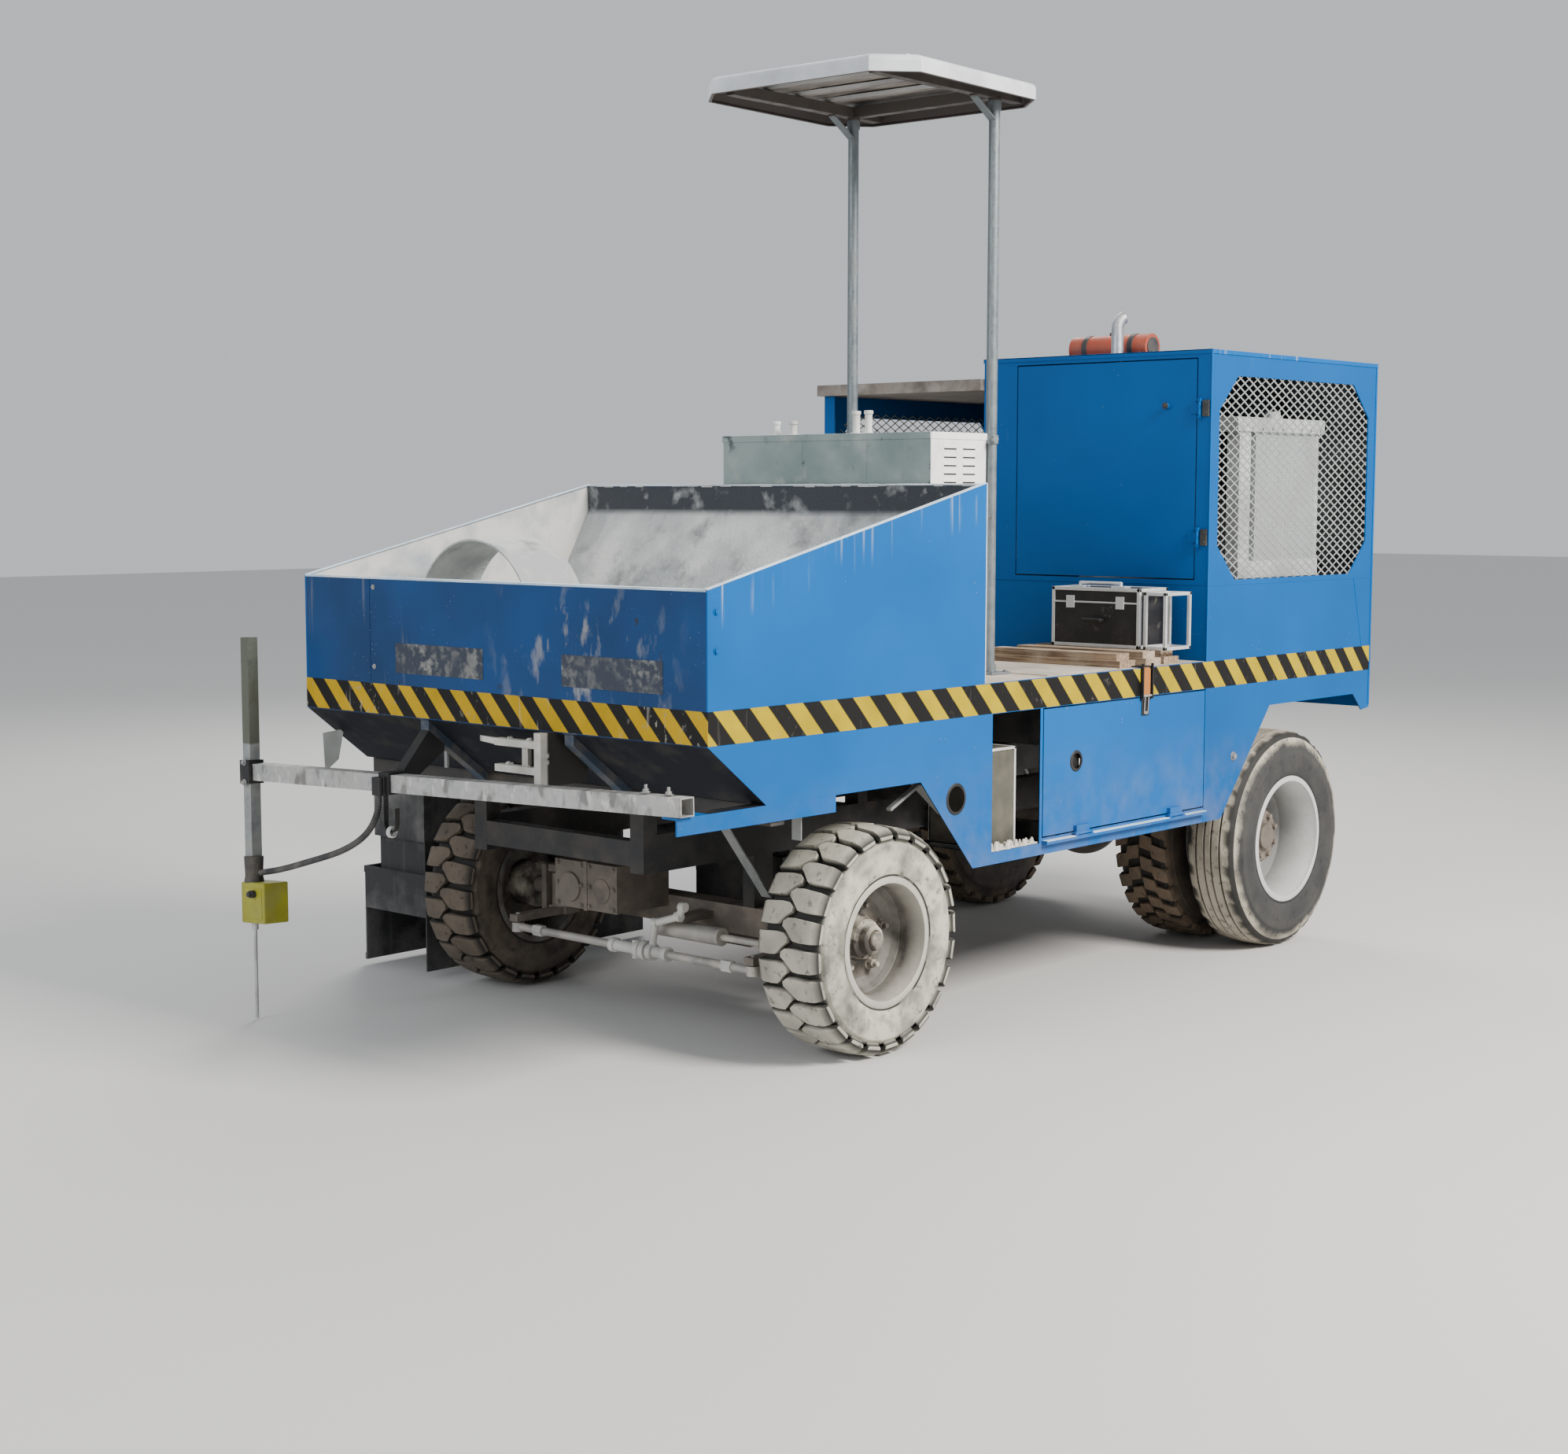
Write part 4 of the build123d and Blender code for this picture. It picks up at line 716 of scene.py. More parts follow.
def piece(name, bm, body, material, bevel=0.0015, smooth=False, segments=2, replaces=()):
    """Turn a bmesh into a piece that rides on a CAD body."""
    bmesh.ops.recalc_face_normals(bm, faces=bm.faces)
    mesh = bpy.data.meshes.new(name)
    bm.to_mesh(mesh)
    bm.free()
    mesh.materials.append(material)
    made = bpy.data.objects.new(name, mesh)
    bpy.context.scene.collection.objects.link(made)
    if smooth:
        mesh.shade_smooth()
        mesh.set_sharp_from_angle(angle=radians(35))
    if bevel:
        rounder = made.modifiers.new("bevel", "BEVEL")
        rounder.width, rounder.segments, rounder.limit_method = bevel, segments, "ANGLE"
        rounder.angle_limit = radians(32)
        rounder.use_clamp_overlap = True
    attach(made, body)
    if replaces:
        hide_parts(*replaces)
    faces_made[name] = len(mesh.polygons)
    return made


def paint(material, *names):
    """Give CAD nodes their finish."""
    for name in names:
        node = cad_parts[name]
        node.data.materials.clear()
        node.data.materials.append(material)


# %% [markdown]
# CAD nodes whose shape is already right stay and only take a better finish. Flat sheets, rails and bars are
# of this kind. What needs tread, dishes, mesh or folds is modelled afresh further down.

# %% Finishes for the carried-over nodes
paint(blue, "side_panel_left", "side_panel_right", "boom_bracket")
paint(blue_door, "side_door")
paint(blue_housing, "engine_housing", "engine_door")
paint(front_blue, "front_panel")
paint(black_rubber, "boom_strap")
paint(liner_crust, "hopper_liner", "feed_screw", "screw_hood")
paint(mould_crust, "kerb_mould", "discharge_spout", "mould_carrier")
paint(deck_crust, "deck_plate")
paint(black_frame, "frame_rails", "frame_members", "hydraulic_tank", "screw_motor", "pole_clamp")
paint(brown_sheet, "bay_roof")
paint(engine_paint, "engine_block")
paint(boom_zinc, "sensor_boom")
paint(pole_zinc, "sensor_pole")
paint(post_zinc, "canopy_frame")
paint(tank_red, "roof_tank")
paint(console_skin, "console_cabinet")
paint(canopy_skin, "canopy_roof")
paint(laminate, "tool_case")
paint(planks, "deck_boards")
paint(casting, "front_axle", "rear_axle", "knuckle_left", "knuckle_right")
paint(clevis_paint, "tow_clevis")
paint(rod_metal, "tie_rod", "steering_cylinder", "steering_rod")
paint(mesh_zinc, "side_grilles")

# %% [markdown]
# The front tyres are solid-looking site tyres with deep blocks. Each block runs from near the middle of the
# tread to its shoulder, with a zigzag in its sides. The block is a strip of cross-sections laid on the
# tyre's curve, so it bends with the tyre. The two rows are staggered by half a pitch.

# %% Front tyres
block_count = 24
# The carcass from its inner bead to the tread's middle: (distance from the tyre's side, radius).
carcass = [(0.020, 0.196), (0.008, 0.212), (0.004, 0.235), (0.001, 0.262), (0.0015, 0.285), (0.004, 0.310),
           (0.018, 0.326), (0.050, 0.337), (0.090, 0.341), (0.125, 0.342)]
# A block's cross-sections: (distance from the middle, shift along the tread, half length, change of radius).
front_rows = ((-0.012, 0.000, 0.008, 0.0), (0.004, 0.000, 0.0200, 0.0), (0.034, 0.014, 0.0360, 0.0),
              (0.060, 0.0165, 0.0365, -0.001), (0.098, 0.0175, 0.0355, -0.005),
              (0.1165, 0.0175, 0.0345, -0.016), (0.1238, 0.0175, 0.0335, -0.028),
              (0.1244, 0.0175, 0.030, -0.035))


def tread_block(bm, centre, middle, side, angle, radius, rows):
    """One block, from beside the tread's middle to its end on the shoulder."""
    rings = []
    for reach, shift, half, drop in rows:
        top, foot = radius + drop, min(radius + drop - 0.004, radius - 0.027 + drop * 0.6)
        x_foot = reach - (0.012 if reach > 0.12 else 0.0)
        ring = []
        for r, spread, x in ((top, half, reach), (foot, half + 0.002, x_foot)):
            for way in (-1, 1):
                a = angle + (shift + way * spread) / radius
                ring.append(bm.verts.new((middle + side * x, centre[0] + r * cos(a), centre[1] + r * sin(a))))
        rings.append(ring)
    for a, b in zip(rings, rings[1:]):
        for i, j in ((0, 1), (1, 3), (3, 2), (2, 0)):
            bm.faces.new((a[i], a[j], b[j], b[i]))
    bm.faces.new([rings[0][i] for i in (0, 1, 3, 2)])
    bm.faces.new([rings[-1][i] for i in (0, 2, 3, 1)])


for side, label in ((1, "left"), (-1, "right")):
    bm = bmesh.new()
    middle = side * front_middle
    outline = [(middle - front_width / 2 + x, r) for x, r in carcass]
    outline += [(middle + front_width / 2 - x, r) for x, r in reversed(carcass[:-1])]
    turned(bm, outline, front_axle_at, 96)
    for i in range(block_count):
        for half, stagger in ((1, 0.0), (-1, 0.5)):
            turn = 2 * pi * (i + stagger) / block_count
            tread_block(bm, front_axle_at, middle, half, turn, front_radius, front_rows)
    rubber = front_rubber if label == "left" else shaded_far_rubber
    piece(f"front_tyre_tread_{label}", bm, f"front_wheel_{label}", rubber, 0.0016,
          smooth=True, replaces=(f"front_tyre_{label}",))
print("front tyre faces:", faces_made["front_tyre_tread_left"])

# %% [markdown]
# The rear wheels are twins. The outer tyre has straight ribs cut by narrow grooves, with notches along its
# shoulders; the inner one has cross lugs. Both are turned profiles. The notches are made by lowering some
# points of a ring, and the lugs are blocks like those in front.

# %% Rear tyres
side_curve = [(0.022, 0.236), (0.010, 0.252), (0.004, 0.278), (0.0015, 0.305), (0.0, 0.330), (0.003, 0.358),
              (0.0065, 0.362), (0.008, 0.374), (0.017, 0.398), (0.026, 0.414)]
rib_tops = ((0.034, 0.062), (0.071, 0.098), (0.107, 0.1175))
groove_depth, notch_depth, notch_count, lug_count = 0.011, 0.006, 66, 30
lug_rows = ((0.004, 0.001, 0.027, 0.0), (0.052, 0.013, 0.027, -0.0012), (0.058, 0.040, 0.027, -0.0015),
            (0.100, 0.052, 0.028, -0.0044), (0.113, 0.056, 0.027, -0.0095))


def crown(x):
    """The tread's radius at a distance from the tyre's side, less towards the shoulder."""
    half = rear_width / 2
    return rear_radius - 0.006 * ((half - x) / (half - rib_tops[0][0])) ** 2


def ribbed_profile():
    """Half of the tread: rib tops with grooves between them."""
    points = []
    for low, high in rib_tops:
        if points:
            floor_radius = crown(low) - groove_depth
            points += [(points[-1][0] + 0.002, floor_radius), (low - 0.002, floor_radius)]
        points += [(low, crown(low)), (high, crown(high))]
    return points


for side, label in ((1, "left"), (-1, "right")):
    for twin, material in ((0, rear_rubber), (1, inner_rubber)):
        bm = bmesh.new()
        middle = side * (rear_middle - twin * twin_step)
        half = side_curve + (ribbed_profile() if twin == 0 else [(0.034, 0.4085), (0.1175, 0.411)])
        outline = [(middle - rear_width / 2 + x, r) for x, r in half]
        outline += [(middle + rear_width / 2 - x, r) for x, r in reversed(half[:-1])]
        turned(bm, outline, rear_axle_at, 132)
        if twin == 0:
            for v in bm.verts:
                off = Vector((v.co.y - rear_axle_at[0], v.co.z - rear_axle_at[1]))
                notch = atan2(off.y, off.x) / (2 * pi) * notch_count % 1.0
                if notch > 0.5 and 0.082 < abs(v.co.x - middle) < 0.1005 and off.length > 0.405:
                    off *= 1 - notch_depth / off.length
                    v.co.y, v.co.z = rear_axle_at[0] + off.x, rear_axle_at[1] + off.y
        else:
            for i in range(lug_count):
                for half_side, stagger in ((1, 0.0), (-1, 0.5)):
                    turn = 2 * pi * (i + stagger) / lug_count
                    tread_block(bm, rear_axle_at, middle, half_side, turn, rear_radius, lug_rows)
        piece(f"{'outer' if twin == 0 else 'inner'}_rear_tread_{label}", bm, f"rear_wheels_{label}", material,
              0.0, smooth=True, replaces=(f"rear_tyres_{label}",))
print("rear tyre faces:", faces_made["outer_rear_tread_left"], faces_made["inner_rear_tread_left"])

# %% [markdown]
# A truck rim is a pressed dish inside a rolled barrel. The front ones are deep, with a big hub and five
# studs; the rear ones show a wide silver dish round a hub flange. Dishes and hubs are turned profiles of
# (x, radius) points, given for the left side and mirrored. The nuts and studs are separate six-sided and
# round bars.

# %% Rims
def barrel_profile(inner, outer, bead):
    """Rolled barrel with a lip outside each bead."""
    return [(inner, bead - 0.008), (inner + 0.02, bead - 0.010), (inner + 0.045, bead - 0.022),
            (outer - 0.045, bead - 0.022), (outer - 0.02, bead - 0.010), (outer, bead - 0.008),
            (outer + 0.001, bead + 0.004), (outer - 0.002, bead + 0.013), (outer - 0.006, bead + 0.012),
            (outer - 0.0075, bead - 0.001), (outer - 0.045, bead - 0.015), (inner + 0.045, bead - 0.015),
            (inner + 0.0075, bead - 0.001), (inner + 0.006, bead + 0.012), (inner + 0.002, bead + 0.013),
            (inner - 0.001, bead + 0.004)]


def mirrored(profile, side):
    """A profile on the left or right side of the machine."""
    return [(side * x, r) for x, r in profile]


front_dish = [(0.786, 0.032), (0.806, 0.032), (0.806, 0.085), (0.800, 0.098), (0.797, 0.135), (0.812, 0.160),
              (0.835, 0.171), (0.835, 0.176), (0.808, 0.166), (0.790, 0.140), (0.790, 0.098)]
front_hub = [(0.70, 0.032), (0.70, 0.082), (0.80, 0.082), (0.812, 0.070), (0.838, 0.064), (0.846, 0.050),
             (0.868, 0.046), (0.874, 0.038), (0.874, 0.0321)]
front_cap = [(0.866, 0.001), (0.866, 0.030), (0.884, 0.028), (0.890, 0.018), (0.891, 0.001)]
rear_hub = [(0.44, 0.046), (0.44, 0.098), (0.72, 0.098), (0.735, 0.088), (0.790, 0.108), (0.842, 0.106),
            (0.853, 0.096), (0.857, 0.052), (0.857, 0.0465)]
rear_cap = [(0.84, 0.001), (0.84, 0.052), (0.872, 0.050), (0.880, 0.034), (0.881, 0.001)]
# The rear dish, out from the plane between the twins: (distance from that plane, radius).
rear_dish = [(0.003, 0.092), (0.003, 0.128), (0.010, 0.146), (0.042, 0.190), (0.070, 0.207), (0.104, 0.214),
             (0.104, 0.2205), (0.066, 0.214), (0.036, 0.198), (0.003, 0.15), (-0.006, 0.128), (-0.006, 0.092)]
twin_plane = rear_middle - twin_step / 2
lip_gap = 0.007


for side, label in ((1, "left"), (-1, "right")):
    bm = bmesh.new()
    low, high = sorted((side * (front_outer - front_width + lip_gap), side * (front_outer - lip_gap)))
    turned(bm, barrel_profile(low, high, front_bead), front_axle_at, 72)
    turned(bm, mirrored(front_dish, side), front_axle_at, 72)
    piece(f"front_rim_dish_{label}", bm, f"front_wheel_{label}", front_rim_paint, 0.0012,
          smooth=True, replaces=(f"front_rim_{label}",))
    bm = bmesh.new()
    turned(bm, mirrored(front_hub, side), front_axle_at, 48)
    turned(bm, mirrored(front_cap, side), front_axle_at, 32)
    for y, z in around(front_axle_at, 0.108, 5, 0.08 * pi):
        bar(bm, (side * 0.796, y, z), (side * 0.802, y, z), 0.021, 20)
        bar(bm, (side * 0.801, y, z), (side * 0.822, y, z), 0.0155, 6)
        bar(bm, (side * 0.821, y, z), (side * 0.838, y, z), 0.0085, 12)
    for y, z in around(front_axle_at, 0.057, 5, 0.08 * pi + 0.35):
        bar(bm, (side * 0.812, y, z), (side * 0.843, y, z), 0.006, 6)
    piece(f"front_hub_{label}", bm, f"front_wheel_{label}", hub_casting, 0.001, smooth=True)

for side, label in ((1, "left"), (-1, "right")):
    bm = bmesh.new()
    for twin in (0, 1):
        edge = rear_outer - twin * twin_step
        low, high = sorted((side * (edge - rear_width + lip_gap), side * (edge - lip_gap)))
        turned(bm, barrel_profile(low, high, rear_bead), rear_axle_at, 84)
    for sign in (1, -1):
        turned(bm, [(side * (twin_plane + sign * x), r) for x, r in rear_dish], rear_axle_at, 84)
    piece(f"rear_rim_dish_{label}", bm, f"rear_wheels_{label}", rear_rim_paint, 0.001,
          smooth=True, replaces=(f"rear_rims_{label}",))
    bm = bmesh.new()
    turned(bm, mirrored(rear_hub, side), rear_axle_at, 48)
    turned(bm, mirrored(rear_cap, side), rear_axle_at, 32)
    for y, z in around(rear_axle_at, 0.080, 8, pi / 8):
        bar(bm, (side * 0.850, y, z), (side * 0.870, y, z), 0.012, 6)
    for y, z in around(rear_axle_at, 0.117, 8, pi / 8):
        bar(bm, (side * (twin_plane + 0.003), y, z), (side * (twin_plane + 0.024), y, z), 0.0165, 6)
        bar(bm, (side * (twin_plane + 0.023), y, z), (side * (twin_plane + 0.046), y, z), 0.0095, 12)
    piece(f"rear_hub_{label}", bm, f"rear_wheels_{label}", casting, 0.001, smooth=True)
print("rim faces:", faces_made["front_rim_dish_left"], faces_made["rear_rim_dish_left"])

# %% [markdown]
# Expanded metal is a sheet that was slit and pulled open into diamonds. Here each strand is a short flat
# bar between two corners of a diamond grid, kept where its middle lies inside the window's cut-cornered
# outline.

# %% Expanded-metal mesh
window_y = (1.912, 3.070)
window_cut, window_grow = 0.130, 0.018
diamond_long, diamond_high, strand_wide, strand_thick = 0.062, 0.034, 0.0046, 0.0024


def inside_octagon(y, z, z_span):
    """True within a window's outline, a little enlarged."""
    (y0, y1), (z0, z1) = ((low - window_grow, high + window_grow) for low, high in (window_y, z_span))
    if not (y0 < y < y1 and z0 < z < z1):
        return False
    return min(y - y0, y1 - y) + min(z - z0, z1 - z) > window_cut + window_grow * 0.2


for side, z_span, label in ((1, (1.455, 2.215), "left"), (-1, (1.400, 2.100), "right")):
    bm = bmesh.new()
    face_x = side * 0.9312
    for j in range(int((z_span[1] - z_span[0]) / (diamond_high / 2)) + 3):
        for i in range(int((window_y[1] - window_y[0]) / diamond_long) + 3):
            y = window_y[0] - 0.03 + (i + 0.5 * (j % 2)) * diamond_long
            z = z_span[0] - 0.03 + j * diamond_high / 2
            for way in (-1, 1):
                a = Vector((face_x, y, z))
                b = a + Vector((0, way * diamond_long / 2, diamond_high / 2))
                mid = (a + b) / 2
                if not inside_octagon(mid.y, mid.z, z_span):
                    continue
                run = (b - a).normalized()
                flat = Vector((0, -run.z, run.y)) * strand_wide / 2 + Vector((side * 0.0006 * way, 0, 0))
                deep = Vector((strand_thick / 2, 0, 0))
                corners = [bm.verts.new(p + f + d) for p in (a - run * 0.001, b + run * 0.001)
                           for f in (-flat, flat) for d in (-deep, deep)]
                for q in ((0, 1, 3, 2), (4, 6, 7, 5), (0, 4, 5, 1), (2, 3, 7, 6), (0, 2, 6, 4), (1, 5, 7, 3)):
                    bm.faces.new([corners[k] for k in q])
    piece(f"window_mesh_{label}", bm, "chassis", mesh_zinc, 0.0,
          replaces=("side_grilles",))
print("mesh faces:", faces_made["window_mesh_left"], faces_made["window_mesh_right"])

# %% [markdown]
# The tape is stuck round the body at one height, with a gap for the spout on the right. It stands less than
# a millimetre off the sheet, which is enough to keep the two surfaces from fighting for the same pixels.

# %% Hazard tape bands
tape_thick = 0.0008
bm = bmesh.new()
block(bm, (body_side, hopper_front, tape_low), (body_side + tape_thick, body_rear, tape_high))
piece("tape_left", bm, "chassis", tape_side, 0.0)
bm = bmesh.new()
block(bm, (-0.9375, hopper_front - tape_thick, tape_low), (body_side + tape_thick, hopper_front, tape_high))
piece("tape_front", bm, "chassis", tape_front, 0.0)
bm = bmesh.new()
for low_y, high_y in ((hopper_front, -0.212), (0.092, body_rear)):
    block(bm, (-body_side - tape_thick, low_y, tape_low), (-body_side, high_y, tape_high))
piece("tape_right", bm, "chassis", tape_right, 0.0)

# %% [markdown]
# Sheet-metal work shows as lines: folded rims, door gaps, a roof lip, and edges where the paint has worn
# off. Each is a thin strip laid on the sheet, which costs few faces and gives the panels their scale. Dried
# cement lies along the hopper's rear rim.

# %% Panel rims and worn edges
bm = bmesh.new()
slope_low, slope_high = Vector((0, *rim_front)), Vector((0, *rim_back))
slope_way = (slope_high - slope_low).normalized()
slope_up = Vector((0, -slope_way.z, slope_way.y)) * 0.0035
for side in (1, -1):
    low, high = sorted((side * 0.921, side * 0.9386))
    rim = [slope_low, slope_high, slope_high + slope_up, slope_low + slope_up]
    prism(bm, rim, (low, 0, 0), (high - low, 0, 0))
    block(bm, (low, 0.4795, 1.1575), (high, 0.4845, 1.8095))
block(bm, (-0.933, -0.836, 1.4965), (0.933, -0.804, 1.5035))
block(bm, (-0.931, 0.4695, 1.8025), (0.931, 0.4815, 1.8065))
for low_y, high_y in ((0.815, 0.985), (1.095, 1.585), (1.695, 1.840)):
    block(bm, (0.9385, low_y, 0.5978), (0.9604, high_y, 0.6012))
piece("worn_rims", bm, "chassis", edge_paint, 0.001)

bm = bmesh.new()
rim_lumps = 46
for i in range(rim_lumps):
    x = -0.905 + i * 1.81 / (rim_lumps - 1) + chance.uniform(-0.01, 0.01)
    wide, deep = chance.uniform(0.018, 0.030), chance.uniform(0.003, 0.010)
    block(bm, (x - wide, 0.4735, 1.8065 - deep), (x + wide, 0.4815, chance.uniform(1.8075, 1.8095)))
piece("rim_cement", bm, "chassis", pale_crust, 0.003)

bm = bmesh.new()
block(bm, (skin, 1.8495, 0.5545), (0.9392, 1.8545, 1.053))
block(bm, (skin, 1.8495, 1.158), (0.9398, 1.8575, 2.304))
block(bm, (skin, 1.858, 1.4365), (0.9396, 3.1365, 1.4405))
block(bm, (skin, 1.857, 2.2905), (0.9408, 3.1375, 2.306))
block(bm, (skin, 3.127, 0.912), (0.9404, 3.1375, 2.2905))
flat_bar(bm, (0.9385, 2.979, 1.4385), (0.9385, 3.06, 1.160), 0.004, 0.002, (0, 1, 0.29))
piece("housing_folds", bm, "chassis", blue, 0.0006)
bm = bmesh.new()
block(bm, (-0.1035, 1.8505, 1.4385), (0.9365, 1.8535, 1.4415))
block(bm, (-0.1035, 1.8495, 2.2905), (0.9375, 1.8535, 2.3065))
block(bm, (-0.104, 1.8495, 2.303), (0.9408, 1.857, 2.3068))
block(bm, (-0.104, 3.1345, 2.303), (0.9408, 3.139, 2.3068))
piece("housing_front_folds", bm, "chassis", blue_housing, 0.0006)

bm = bmesh.new()
for y, z in ((-0.798, 1.44), (-0.798, 1.328)):
    hexagon(bm, (body_side, y, z), (1, 0, 0), 0.008, 0.006)
    hexagon(bm, (-body_side, y, z), (-1, 0, 0), 0.008, 0.006)
piece("corner_bolts", bm, "chassis", blue, 0.0008)
bm = bmesh.new()
hexagon(bm, (body_side, 2.057, 0.785), (1, 0, 0), 0.012, 0.012)
for z in (1.47, 1.21):
    hexagon(bm, (-0.570, hopper_front, z), (0, -1, 0), 0.006, 0.005)
piece("panel_bolts", bm, "chassis", bolt_zinc, 0.0008)

bm = bmesh.new()
block(bm, (-0.5935, -0.8352, 1.158), (-0.5905, -0.8335, 1.4965))
piece("front_seam", bm, "chassis", front_blue, 0.0005)

# %% [markdown]
# Two shallow plates on the front stay blank: only their rubbed film is left, with pale scratches where the
# paint below it shows.

# %% Blank plate places
def rubbed_plate():
    """Rubbed dark film with pale scratches."""
    f = Finish("rubbed_plate")
    tear = f.noise(34, 7).between(0.46, 0.62)
    worn = tear * f.noise(7, 3).between(0.36, 0.62) * 0.6
    return f.done(f.mix((0.022, 0.03, 0.05), (0.36, 0.35, 0.31), worn), 0.6, tear, 0.0006)


plate_film = rubbed_plate()
bm = bmesh.new()
for low_x, high_x in ((-0.46, -0.03), (0.33, 0.76)):
    block(bm, (low_x, -0.8352, 1.195), (high_x, -0.8338, 1.292))
piece("blank_plates", bm, "chassis", plate_film, 0.0006)

# %% [markdown]
# Doors need hardware: dark hinge leaves, a round knob, rubber rings round the finger holes, and a strap
# latch over the tape, with its bracket, its band and its wire link.

# %% Door hardware
bm = bmesh.new()
for z in (1.616, 2.091):
    block(bm, (0.905, 1.8435, z - 0.03), (0.932, 1.852, z + 0.03))
    for dz in (-0.018, 0.018):
        hexagon(bm, (0.922, 1.8435, z + dz), (0, -1, 0), 0.005, 0.004, False)
piece("housing_hinge_leaves", bm, "chassis", dark_steel, 0.001)
bm = bmesh.new()
bar(bm, (0.75, 1.8375, 2.103), (0.75, 1.8335, 2.103), 0.0125, 20)
bar(bm, (0.75, 1.836, 2.103), (0.75, 1.828, 2.103), 0.006, 16)
piece("housing_knob_cap", bm, "engine_door_leaf", dark_steel, 0.001, smooth=True)

bm = bmesh.new()
turned(bm, [(skin, 0.042), (0.9398, 0.042), (0.9405, 0.049), (skin, 0.053)], (0.33, 0.791), 40)
piece("porthole_ring", bm, "chassis", black_rubber, 0.0, smooth=True)
bm = bmesh.new()
turned(bm, [(skin, 0.027), (0.9408, 0.027), (0.9412, 0.034), (skin, 0.038)], (1.011, 0.857), 36)
# A black block behind the finger hole is painted shade, so the hole reads dark.
block(bm, (0.9245, 0.978, 0.824), (0.9265, 1.044, 0.890))
piece("finger_hole_ring", bm, "side_door_leaf", black_rubber, 0.0, smooth=True)
latch_y = 1.44
bm = bmesh.new()
block(bm, (0.9386, latch_y - 0.034, 1.040), (0.9425, latch_y + 0.034, 1.1575))
block(bm, (0.895, latch_y - 0.034, 1.1572), (0.9425, latch_y + 0.034, 1.1625))
block(bm, (0.9386, latch_y - 0.024, 0.985), (0.9405, latch_y + 0.024, 1.042))
for y in (latch_y - 0.031, latch_y + 0.031):
    block(bm, (0.9424, y - 0.003, 1.045), (0.952, y + 0.003, 1.172))
piece("latch_bracket", bm, "chassis", black_rubber, 0.0015)
bm = bmesh.new()
block(bm, (0.9424, latch_y - 0.020, 1.058), (0.9465, latch_y + 0.020, 1.152))
arc_tube(bm, (0.9405, latch_y, 1.152), (1, 0, 0), (0, 0, 1), 0.004, 0.020, 0.0, pi / 2, 8, 12, 0.12)
piece("latch_band", bm, "chassis", latch_band, 0.0012)
bm = bmesh.new()
bar(bm, (0.947, latch_y - 0.026, 1.056), (0.947, latch_y + 0.026, 1.056), 0.004, 12)
for y in (latch_y - 0.012, latch_y + 0.012):
    bar(bm, (0.946, y, 1.056), (0.9425, y, 0.994), 0.0025, 10)
bar(bm, (0.9425, latch_y - 0.012, 0.994), (0.9425, latch_y + 0.012, 0.994), 0.0028, 10)
block(bm, (0.9405, latch_y - 0.010, 0.989), (0.945, latch_y + 0.010, 1.000))
piece("latch_link", bm, "chassis", bolt_zinc, 0.0006, smooth=True)

# %% [markdown]
# The canopy is a shallow tray of sheet steel turned upside down: a flat skin, a rolled rim and clipped
# corners. Its levels are (inset, height) pairs of one outline, up the outside and back down the inside.
# Pressed ribs, small ridges hung under the skin, stiffen the underside.

# %% Canopy
canopy_spin = Matrix.Rotation(canopy_turn, 4, "Z")


def on_canopy(x, y, z):
    """A point given along the canopy's own sides."""
    return canopy_spin @ Vector((x, y, z)) + canopy_mid


def canopy_ring(bm, inset, z):
    """The canopy's eight corners at one level."""
    half, cut = canopy_half - inset, max(canopy_cut - inset * 0.586, 0.02)
    corners = ((half - cut, -half), (half, cut - half), (half, half - cut), (half - cut, half),
               (cut - half, half), (-half, half - cut), (-half, cut - half), (cut - half, -half))
    return [bm.verts.new(on_canopy(x, y, z)) for x, y in corners]


bm = bmesh.new()
outer_levels = ((0.012, 3.0900), (0.0, 3.0912), (0.0, 3.126), (0.003, 3.136), (0.010, 3.1425), (0.022, 3.1465),
                (0.09, 3.154), (0.24, 3.160))
inner_levels = ((0.24, 3.156), (0.09, 3.150), (0.024, 3.1425), (0.013, 3.138), (0.006, 3.128), (0.004, 3.1),
                (0.012, 3.0935))
outer_rings = [canopy_ring(bm, inset, z) for inset, z in outer_levels]
inner_rings = [canopy_ring(bm, inset, z) for inset, z in inner_levels]
walls = list(zip(outer_rings, outer_rings[1:])) + list(zip(inner_rings, inner_rings[1:] + outer_rings[:1]))
for a, b in walls:
    for i in range(8):
        j = (i + 1) % 8
        bm.faces.new((a[i], a[j], b[j], b[i]))
bm.faces.new(outer_rings[-1])
bm.faces.new(inner_rings[0][::-1])
for i in range(5):
    y = -0.32 + 0.16 * i
    reach = canopy_half - 0.05 - max(0.0, abs(y) - (canopy_half - canopy_cut))
    ridge = [on_canopy(-reach, y + dy, z) for dy, z in ((-0.020, 3.151), (-0.012, 3.137), (0.012, 3.137),
                                                        (0.020, 3.151))]
    prism(bm, ridge, (0, 0, 0), canopy_spin @ Vector((2 * reach, 0, 0)))
piece("canopy_shell", bm, "chassis", canopy_skin, 0.0012, replaces=("canopy_roof",))
bm = bmesh.new()
post_y = 0.822
for x in (0.08, 0.70):
    block(bm, (x - 0.055, post_y - 0.055, deck_top), (x + 0.055, post_y + 0.055, deck_top + 0.008))
    for dx in (-0.04, 0.04):
        for dy in (-0.04, 0.04):
            hexagon(bm, (x + dx, post_y + dy, deck_top + 0.008), (0, 0, 1), 0.008, 0.007)
    bar(bm, (x, post_y, deck_top + 0.008), (x, post_y, 1.19), 0.024, 20)
    bar(bm, (x, post_y, 3.06), (x, post_y, 3.10), 0.023, 20)
    flat_bar(bm, (x, post_y, 3.02), (x, 0.700, 3.097), 0.03, 0.005, (1, 0, 0))
bar(bm, (0.70, post_y, 1.945), (0.70, post_y, 1.975), 0.024, 20)
bar(bm, (0.715, 0.812, 1.960), (0.738, 0.796, 1.960), 0.011, 16)
piece("post_feet", bm, "chassis", post_zinc, 0.001, smooth=True)

